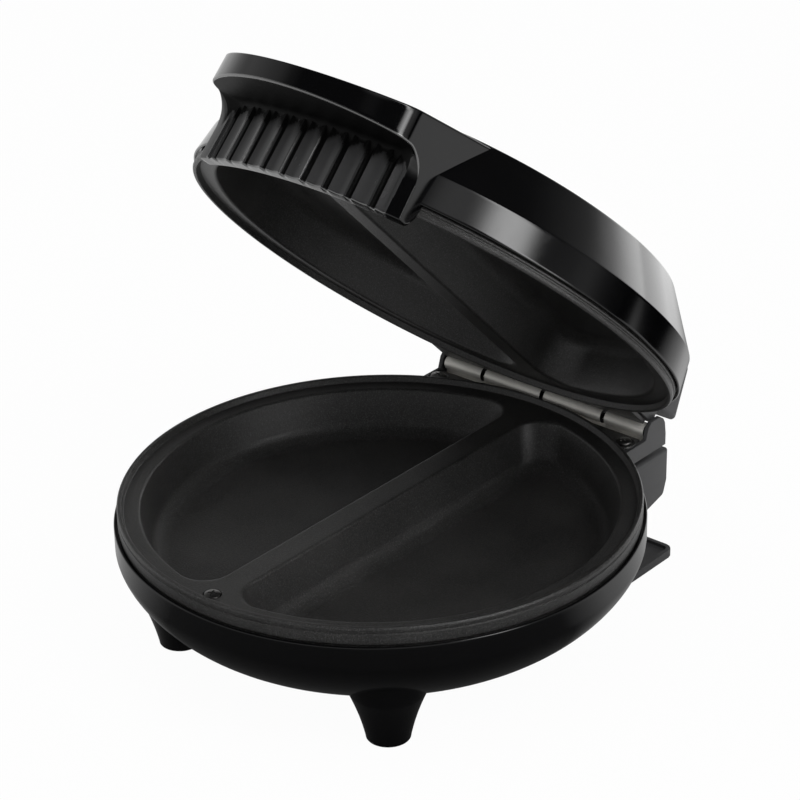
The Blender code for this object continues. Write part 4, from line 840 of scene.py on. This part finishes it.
# %% Section of the handle at one turn
FOOT_OUT, FOOT_UP = BODY - 1.3 * MM, LID_RIM + 1.2 * MM
WALL_PATH = [Vector(point) for point in ((FOOT_OUT, FOOT_UP), mm(106.9, 82), mm(89, 103.4))]
LEVEL_FROM = BODY + 4 * MM
EDGE_RADIUS = 0.8 * MM
TOP_ROWS, SHOULDER_ROWS, FRONT_ROWS, LIP_ROWS, SCOOP_ROWS, WALL_ROWS, FOOT_ROWS = 5, 7, 7, 7, 31, 18, 5
FINE = 200


def spread(line, count):
    """Places count points evenly along a line, ends included."""
    lengths = [(b - a).length for a, b in zip(line, line[1:])]
    total = sum(lengths)
    made = []
    for k in range(count):
        want = total * k / (count - 1)
        i = 0
        while i < len(lengths) - 1 and want > lengths[i]:
            want -= lengths[i]
            i += 1
        made.append(line[i].lerp(line[i + 1], min(1, want / max(lengths[i], 1e-9))))
    return made


def softly(start, corner, end, count):
    """A corner rounded by a curve of count points, ends included."""
    steps = [k / (count - 1) for k in range(count)]
    return [start.lerp(corner, s).lerp(corner.lerp(end, s), s) for s in steps]


def top_at(radius, turn):
    """Height of the handle's top: a slope up from the front, which dies into the lid's top."""
    return min(92.8 * MM + 0.175 * (REACH - radius * math.cos(turn)), LID_TOP - 0.2 * MM)


def bottom_at(reach):
    """Height of the handle's lower end: level under the fingers, then rounded up into the dome."""
    if reach >= LEVEL_FROM:
        return SKIRT
    if reach > FOOT_OUT:
        share = (LEVEL_FROM - reach) / (5.3 * MM)
        return SKIRT + (FOOT_UP - SKIRT) * (1 - math.sqrt(max(0, 1 - share**2.2)))
    last = WALL_PATH[0]
    for point in WALL_PATH[1:]:
        if reach >= point.x:
            return last.y + (point.y - last.y) * (last.x - reach) / (last.x - point.x)
        last = point
    return last.y


def handle_section(turn):
    reach = reach_at(turn)
    wall = GRIP - groove_at(turn)
    depth = max(reach - wall, 0)
    face = min(reach, wall)
    crown = top_at(reach, turn)
    shoulder = Vector((reach - EDGE_RADIUS, top_at(reach - EDGE_RADIUS, turn)))
    edge_end = crown - EDGE_RADIUS
    start = Vector((min(89 * MM, reach - 2 * MM), 0))
    start.y = top_at(start.x, turn)
    points = spread([start, shoulder], TOP_ROWS + 1)[:-1]
    points += softly(shoulder, Vector((reach, crown)), Vector((reach, edge_end)), SHOULDER_ROWS)

    low = max(SKIRT, bottom_at(reach))
    side_end = min(max(BAND_LOW - 11 * MM, low + 1.5 * MM), edge_end - 0.3 * MM)
    curve = [Vector((face, side_end)), Vector((face, side_end - 0.5 * MM))]
    if depth > 0.02 * MM:
        curve = under_grip(reach, face, turn)
    lip = max(min(0.8 * MM, depth * 0.4), 0.01 * MM)
    lip_start = curve[0] + Vector((0, lip))
    run = sum((b - a).length for a, b in zip(curve, curve[1:]))
    fine = spread(curve, FINE)
    first = min(FINE - 3, int(lip / run * (FINE - 1)) + 1)
    points += spread([Vector((reach, edge_end)), lip_start], FRONT_ROWS + 2)[1:-1]
    points += softly(lip_start, curve[0], fine[first], LIP_ROWS)
    points += spread(fine[first:], SCOOP_ROWS + 1)[1:]

    foot = Vector((face, low + EDGE_RADIUS))
    points += spread([curve[-1], foot], WALL_ROWS + 2)[1:-1]
    points += softly(foot, Vector((face, low)), Vector((face - EDGE_RADIUS, low)), FOOT_ROWS)
    inner = min(BODY, face - EDGE_RADIUS * 1.2)
    inside_up = crown - 3 * MM
    points += [Vector((inner, low)), Vector((inner, max(low, min(LID_RIM + 0.4 * MM, inside_up))))]
    back = [p for p in WALL_PATH if p.x < face - EDGE_RADIUS]
    back = back or [Vector((face - 2 * EDGE_RADIUS, max(low, inside_up)))]
    return points + spread([*back, back[-1] - Vector((0.3 * MM, 0))], 4)


print("handle section:", len(handle_section(0.0)), "points")

# %% [markdown]
# ## Bending the handle
# Each column of one flat grid takes the section at its turn. The last row is then joined to the
# first, the ends are closed, and a face gets its finish by the run that it lies on.

# %% Bend a grid into the handle
END = math.radians(38.2)
ACROSS = 700
NARROWING = 0.03
along = len(handle_section(0.0))
form = bmesh.new()
bmesh.ops.create_grid(form, x_segments=ACROSS, y_segments=along - 1, size=0.5)
row_layer = form.verts.layers.int.new("row")
rib_painted_shade_layer = form.verts.layers.float.new("shelter")
ends = [e for e in form.edges if all(abs(abs(v.co.y) - 0.5) < 1e-6 for v in e.verts)]
sections = [handle_section(END * (2 * column / ACROSS - 1)) for column in range(ACROSS + 1)]
for vert in form.verts:
    column = round((vert.co.x + 0.5) * ACROSS)
    row = round((vert.co.y + 0.5) * (along - 1))
    turn = END * (2 * column / ACROSS - 1)
    here = sections[column][row]
    vert[row_layer] = row
    # Painted shade carried by the mesh: how far each point fades to near black
    vert[rib_painted_shade_layer] = rib_painted_shade_at(turn, here.y)
    narrowed = 1 - NARROWING * (here.y - SKIRT) / HALF
    vert.co = (here.x * math.sin(turn) * narrowed, -here.x * math.cos(turn), here.y)
bmesh.ops.bridge_loops(form, edges=ends)
bmesh.ops.holes_fill(form, edges=form.edges, sides=0)
outward(form)

lip_row = TOP_ROWS + SHOULDER_ROWS + FRONT_ROWS
scoop_row = lip_row + LIP_ROWS - 1
foot_row = scoop_row + 1 + SCOOP_ROWS + WALL_ROWS
# SHADE faces get painted shade: the dark, low-shine copy, over the scoop away from the ribs
RIB, SHADE, EDGE = 1, 2, 3
RIB_BACK, RIB_FRONT = GRIP - 1.05 * MM, GRIP + 0.1 * MM
# EDGE faces get the painted highlight along the lip and the flutes' lower edges
for face in form.faces:
    centre = face.calc_center_median()
    reach = math.hypot(centre.x, centre.y)
    turn = math.atan2(centre.x, -centre.y)
    row = min(v[row_layer] for v in face.verts)
    fluted = abs(turn) < PITCH * (GROOVES_ASIDE + 0.6)
    if lip_row <= row < scoop_row and reach_at(turn) - GRIP > 1.5 * MM:
        face.material_index = EDGE
    elif foot_row <= row < foot_row + FOOT_ROWS and fluted:
        face.material_index = EDGE
    elif scoop_row <= row < foot_row and fluted:
        on_rib = RIB_BACK < reach < RIB_FRONT and rib_painted_shade_at(turn, centre.z) < 0.8
        face.material_index = RIB if on_rib else SHADE
print("handle grid:", ACROSS, "by", along, "volume", round(form.calc_volume(signed=True) * 1e6, 1), "cm3")
handle = piece("lid_handle", form, grip_gloss, "lid", sharp=50)
for paint in (grip_rib, grip_shade, grip_highlight_edge):
    handle.data.materials.append(paint)

# %% [markdown]
# ## Cooking plates
# Each plate is a casting: a round flange with a raised bead and a groove round its side, a skirt
# that steps down into the casing, and two half-moon pockets with a bridge between them. The rim
# is turned, from the flat face out over the bead, down the side and back under the flange.

# %% Turned rim of a plate
BEAD, FLAT_EDGE, PLATE_BACK, SKIRT_WALL = mm(2.8, 104.6, 107, 1.6)
BACK = BEAD * 2
ROUND_STEPS = 192


def plate_rim(shoulder, skirt):
    """Rim section: the flange's side ends at shoulder, and skirt is the skirt's radius."""
    bottom = max(shoulder, BACK) + 4.5 * MM
    outer = [
        (2.7, BEAD, 0.5), (1.9, 0.15 * MM, 0.5), (0.5, 0.15 * MM, 0.5), (0, 0.9 * MM, 0.5),
        (0, 2.0 * MM, 0.15), (0.5, 2.3 * MM, 0.12), (0.5, 2.9 * MM, 0.12), (0.05, 3.2 * MM, 0.15),
        (0.05, shoulder - 2.2 * MM, 0.3), (0.5, shoulder - 1.4 * MM, 0.3), (0.5, shoulder, 0.2),
    ]
    return eased([
        (FLAT_EDGE, BEAD, 0), *((PLATE - inset * MM, low, radius * MM) for inset, low, radius in outer),
        (skirt, shoulder, 0), (skirt, bottom, 0), (skirt - SKIRT_WALL, bottom, 0),
        (skirt - SKIRT_WALL, BACK, 0), (FLAT_EDGE, BACK, 0),
    ])


print("bead:", round((PLATE - FLAT_EDGE) / MM, 1), "mm wide,", round(BEAD / MM, 1), "mm high")

# %% [markdown]
# ## Pockets
# A pocket is a half-moon ring that is repeated further in and deeper, step by step, so that its
# mouth and its floor get the soft radii of a casting.

# %% Half-moon rings
POCKET, BRIDGE, POCKET_CORNER = mm(99, 12, 12)


def arc(x, y, radius, start, end, steps):
    """Points along an arc, without its last one."""
    angles = [start + (end - start) * (k / steps) for k in range(steps)]
    return [(x + radius * math.cos(angle), y + radius * math.sin(angle)) for angle in angles]


def half_moon(inset, side):
    """A pocket's outline: the arc of the plate, two rounded corners and the bridge's side."""
    radius = POCKET - inset
    across = BRIDGE / 2 + inset + POCKET_CORNER
    lean = math.acos(across / (radius - POCKET_CORNER))
    rise = (radius - POCKET_CORNER) * math.sin(lean)
    points = arc(0, 0, radius, -lean, lean, 72)
    points += arc(across, rise, POCKET_CORNER, lean, math.pi, 22)
    points += [(across - POCKET_CORNER, rise * (1 - 2 * k / 20)) for k in range(20)]
    points += arc(across, -rise, POCKET_CORNER, math.pi, math.tau - lean, 22)
    return [(x * side, y) for x, y in points]


def sunk(form, number, outlines):
    """Draws an outline (points, height), carries it through the others and adds a floor."""
    points, height = outlines[0]
    verts = [form.verts.new((x, y, height)) for x, y in points]
    for i, vert in enumerate(verts):
        vert[number] = i
    mouth = edges = [form.edges.new(pair) for pair in zip(verts, verts[1:] + verts[:1])]
    for points, height in outlines[1:]:
        grown = bmesh.ops.extrude_edge_only(form, edges=edges)["geom"]
        for vert in of_kind(grown, bmesh.types.BMVert):
            vert.co = (*points[vert[number]], height)
        edges = of_kind(grown, bmesh.types.BMEdge)
    bmesh.ops.edgeloop_fill(form, edges=edges)
    return mouth


print("points of a pocket's ring:", len(half_moon(0, 1)))

# %% [markdown]
# ## A whole plate
# The face and the back are flat sheets, pierced by the rings of the pockets and the seat of the
# front screw. Triangles fill the flat rest most simply. The rear is cut straight for the hinge,
# where a lug reaches back to carry the leaf.

# %% A whole plate
FRONT_SCREW, CAST, LUG_HALF, LUG_TALL = mm(-100.5, 2.7, 54.95, 2)
SCREW_SEAT = (mm(4.15, 0), mm(3.95, 0), mm(3.8, 0.12), mm(3.8, 1), mm(3.7, 1))


def cooking_plate(name, node, body, up, depth, rise, skirt, lug_from, lug_at):
    """A plate whose pockets sink into the base (up = -1) or into the lid (up = 1)."""
    form = turned([(r, MEETING + up * low) for r, low in plate_rim(rise, skirt)], ROUND_STEPS)
    number = form.verts.layers.int.new("number")
    pocket_wall = eased([
        mm(-1.8, 0, 0), mm(0, 0, 1.5), (5.4 * MM, depth, 8.6 * MM), (14 * MM, depth, 0),
    ], 9)
    for level, thick in ((BEAD, 0.0), (BACK, CAST)):
        height = MEETING + up * level
        edges = [e for e in form.edges if e.is_boundary and abs(e.verts[0].co.z - height) < 1e-6]
        for side in (-1, 1):
            outlines = []
            for inset, low in pocket_wall:
                low = min(low + thick if low > 1.5 * MM else low, depth + 0.1 * MM)
                outlines.append((half_moon(inset - thick, side), MEETING + up * (level + low)))
            edges += sunk(form, number, outlines)
        if not thick:
            seat = [(arc(0, FRONT_SCREW, r, 0, math.tau, 36), low) for r, low in SCREW_SEAT]
            edges += sunk(form, number, [(ring, MEETING + up * (BEAD + low)) for ring, low in seat])
        bmesh.ops.triangle_fill(form, use_beauty=True, use_dissolve=False, edges=edges)
    outward(form)
    cut = bmesh.ops.bisect_plane(
        form, geom=form.verts[:] + form.edges[:] + form.faces[:], dist=1e-7,
        plane_co=(0, PLATE_BACK, 0), plane_no=(0, 1, 0), clear_outer=True,
    )
    bmesh.ops.holes_fill(form, edges=of_kind(cut["geom_cut"], bmesh.types.BMEdge), sides=0)
    lug_outline = [(FRONT_MARK, 0), (PLATE_BACK, 0), (PLATE_BACK, LUG_TALL), (FRONT_MARK, LUG_TALL)]
    lug = hugging(lug_outline, LUG_HALF, 0.5 * MM, 3, lambda height: lug_from)
    bmesh.ops.translate(lug, verts=lug.verts, vec=(0, 0, lug_at))
    print(name, "volume", round(form.calc_volume(signed=True) * 1e6, 1), "cm3")
    piece(name, gathered(form, lug), coating, body, stands_for=(node,), sharp=38)


cooking_plate("lower_cooking_plate", "lower_plate", "base", -1, *mm(20, 9.6, 106.9, 104, 59.57))
cooking_plate("upper_cooking_plate", "upper_plate", "lid", 1, *mm(22, 6.1, 105.9, 107, 64.75))

# %% [markdown]
# ## Hinge
# A rolled hinge is a steel sheet whose edge is curled round a pin, cut into knuckles that belong
# to one leaf or the other in turn. Each knuckle is a short tube with eased ends, spun and laid
# along the hinge's axis; a web joins it to its leaf, which is screwed under the plate. The pin and
# the knuckles' cut ends get a near-black steel, as painted shade in the slits between the knuckles.

# %% Knuckles, leaves and pin
KNUCKLE, PIN, BARREL, SPLIT, SLIT = mm(3.3, 1.2, 54.85, 33, 0.9)
TAB, TAB_FRONT, SHEET, WEB_HALF = mm(9.5, 96.85, 1.2, 1.5)


def tube(left, right, outer, inner, ease=0.25 * MM, steps=56):
    """A tube round the hinge's axis between two places along x, or a rod where inner is 0."""
    hollow = inner > 0
    end_ease = 0.1 * MM if hollow else 0
    form = turned(eased([
        (inner, left, end_ease), (outer, left, ease), (outer, right, ease), (inner, right, end_ease),
    ], closed=hollow), steps, closed=hollow)
    lay = Matrix.Translation((0, HINGE_Y, HINGE_Z)) @ Matrix.Rotation(math.pi / 2, 4, "Y")
    bmesh.ops.transform(form, matrix=lay, verts=form.verts)
    return form


def sheet_bar(left, right, front, rear, low, high):
    return prism([(front, low), (rear, low), (rear, high), (front, high)], left, right, 0.15 * MM, 2)


def leaf(name, node, body, spans, low, web_low, web_high):
    """A leaf with its two tabs, and a knuckle on a web for each span along x."""
    high = low + SHEET
    parts = [sheet_bar(-BARREL, BARREL, PLATE_BACK, HINGE_Y + WEB_HALF, low, high)]
    for left, right in ((-BARREL, -BARREL + TAB), (BARREL - TAB, BARREL)):
        parts.append(sheet_bar(left, right, TAB_FRONT, PLATE_BACK + 1 * MM, low, high))
    for left, right in spans:
        parts.append(tube(left, right, KNUCKLE, PIN + 0.3 * MM))
        parts.append(sheet_bar(left, right, HINGE_Y - WEB_HALF, HINGE_Y + WEB_HALF, web_low, web_high))
    whole = gathered(*parts)
    # Painted shade: the knuckles' cut ends take the near-black pin steel
    for face in whole.faces:
        centre = face.calc_center_median()
        across = math.hypot(centre.y - HINGE_Y, centre.z - HINGE_Z)
        face.material_index = int(abs(face.normal.x) > 0.5 and across < KNUCKLE)
    made = piece(name, whole, hinge_steel, body, stands_for=(node,))
    made.data.materials.append(slit_shade_steel)


outer_spans = ((-BARREL, -SPLIT - SLIT), (SPLIT + SLIT, BARREL))
inner_spans = ((-SPLIT + SLIT, -SLIT), (SLIT, SPLIT - SLIT))
leaf("lower_hinge_leaf", "hinge_leaf_lower", "base", outer_spans, *mm(58.1, 58.2, 61.6))
leaf("upper_hinge_leaf", "hinge_leaf_upper", "lid", inner_spans, *mm(69.5, 65.8, 70.6))
rod = tube(-BARREL - 0.3 * MM, BARREL + 0.3 * MM, PIN, 0)
piece("hinge_pin_rod", rod, slit_shade_steel, "base", stands_for=("hinge_pin",))

# %% [markdown]
# ## Plate screws
# A pan head is a low dome over a straight edge, with a cross pressed into it. The screw is spun
# with many fine rings, and the vertices inside the cross are pushed down, which is quicker than
# a Boolean and keeps the mesh closed. The collars and the bezels of the lenses are spun rings.

# %% Screws with a cross recess, collars and bezels
HEAD, HEAD_TALL, SHANK, UNDER_HEAD = mm(3.35, 1.4, 1.5, 0.3)
CROSS_HALF, CROSS_REACH, CROSS_DEEP = mm(0.42, 1.9, 0.75)
RINGS = 26


def screw(name, node, x, y, seat, bite, body):
    """A pan-head screw: its head stands on the base's plate or hangs under the lid's."""
    steps = [k / RINGS for k in range(RINGS + 1)]
    crown = [(HEAD * 0.97 * step, HEAD_TALL * (1 - 0.32 * step**2.2)) for step in steps]
    rest = [(HEAD, HEAD_TALL * 0.5), (HEAD, 0.12 * MM), (HEAD - 0.12 * MM, 0), (SHANK, 0)]
    form = turned([*crown, *rest, (SHANK, MM - bite), (0, -bite)], 96)
    for vert in form.verts:
        across, along = sorted((abs(vert.co.x), abs(vert.co.y)))
        if across < CROSS_HALF and along < CROSS_REACH and vert.co.z > HEAD_TALL * 0.6:
            vert.co.z -= CROSS_DEEP * (1 - 0.35 * along / CROSS_REACH)
    where, up, flip = (raised, -1, math.pi) if body == "lid" else (seated, 1, 0)
    lay = Matrix.Translation((x, y, seat + up * UNDER_HEAD)) @ Matrix.Rotation(flip, 4, "X")
    lay = lay @ Matrix.Rotation(math.radians(28 + x / MM), 4, "Z")
    piece(name, form, screw_steel, body, where @ lay, (node,), sharp=30)


SCREW_X, SCREW_Y, LENS_X, LENS_Y = mm(51.15, 100.2, 12, -28)
COLLAR = eased([mm(4.0, 0, 0), mm(5.3, 0, 0), mm(5.0, 0.6, 0.25), mm(4.3, 0.6, 0.25)], closed=True)
BEZEL = eased([mm(4.1, -0.6, 0), mm(5.4, -0.6, 0), mm(5.2, 0.3, 0.3), mm(4.1, 0.3, 0.2)], closed=True)
screw("lower_front_screw", "lower_plate_screw_front", 0, FRONT_SCREW, *mm(60.6, 10), "base")
screw("upper_front_screw", "upper_plate_screw_front", 0, FRONT_SCREW, *mm(68.2, 10), "lid")
for side, word in ((-1, "left"), (1, "right")):
    x = side * SCREW_X
    screw(f"lower_rear_screw_{word}", f"lower_plate_screw_{word}", x, SCREW_Y, *mm(61.6, 12), "base")
    screw(f"upper_rear_screw_{word}", f"upper_plate_screw_{word}", x, SCREW_Y, *mm(66.9, 9), "lid")
    place = seated @ Matrix.Translation((x, SCREW_Y, 61.5 * MM))
    ring = turned(COLLAR, 64, closed=True)
    piece(f"screw_collar_{word}", ring, coating, "base", place)
    place = raised @ Matrix.Translation((side * LENS_X, LENS_Y, LID_TOP))
    piece(f"lens_bezel_{word}", turned(BEZEL, 72, closed=True), satin, "lid", place)

# %% [markdown]
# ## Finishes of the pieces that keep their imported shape
# The parts hidden inside need no new shape. Each still gets the finish of its own material,
# which a word in its name tells.

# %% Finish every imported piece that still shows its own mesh
def paint_of(node):
    for word, paint in (
        ("screw", screw_steel), ("leaf", hinge_steel), ("pin", hinge_steel), ("shield", shield_sheet),
        ("element", sheath), ("terminal", ceramic), ("fuse", ceramic), ("thermostat", sheath),
        ("power", red_lens), ("ready", green_lens), ("board", board), ("inlet", rubber), ("pad", rubber),
    ):
        if word in node:
            return paint
    return satin


for node, obj in frame["nodes"].items():
    for slot in obj.material_slots:
        slot.material = paint_of(node)
    print(node, "->", paint_of(node).name)
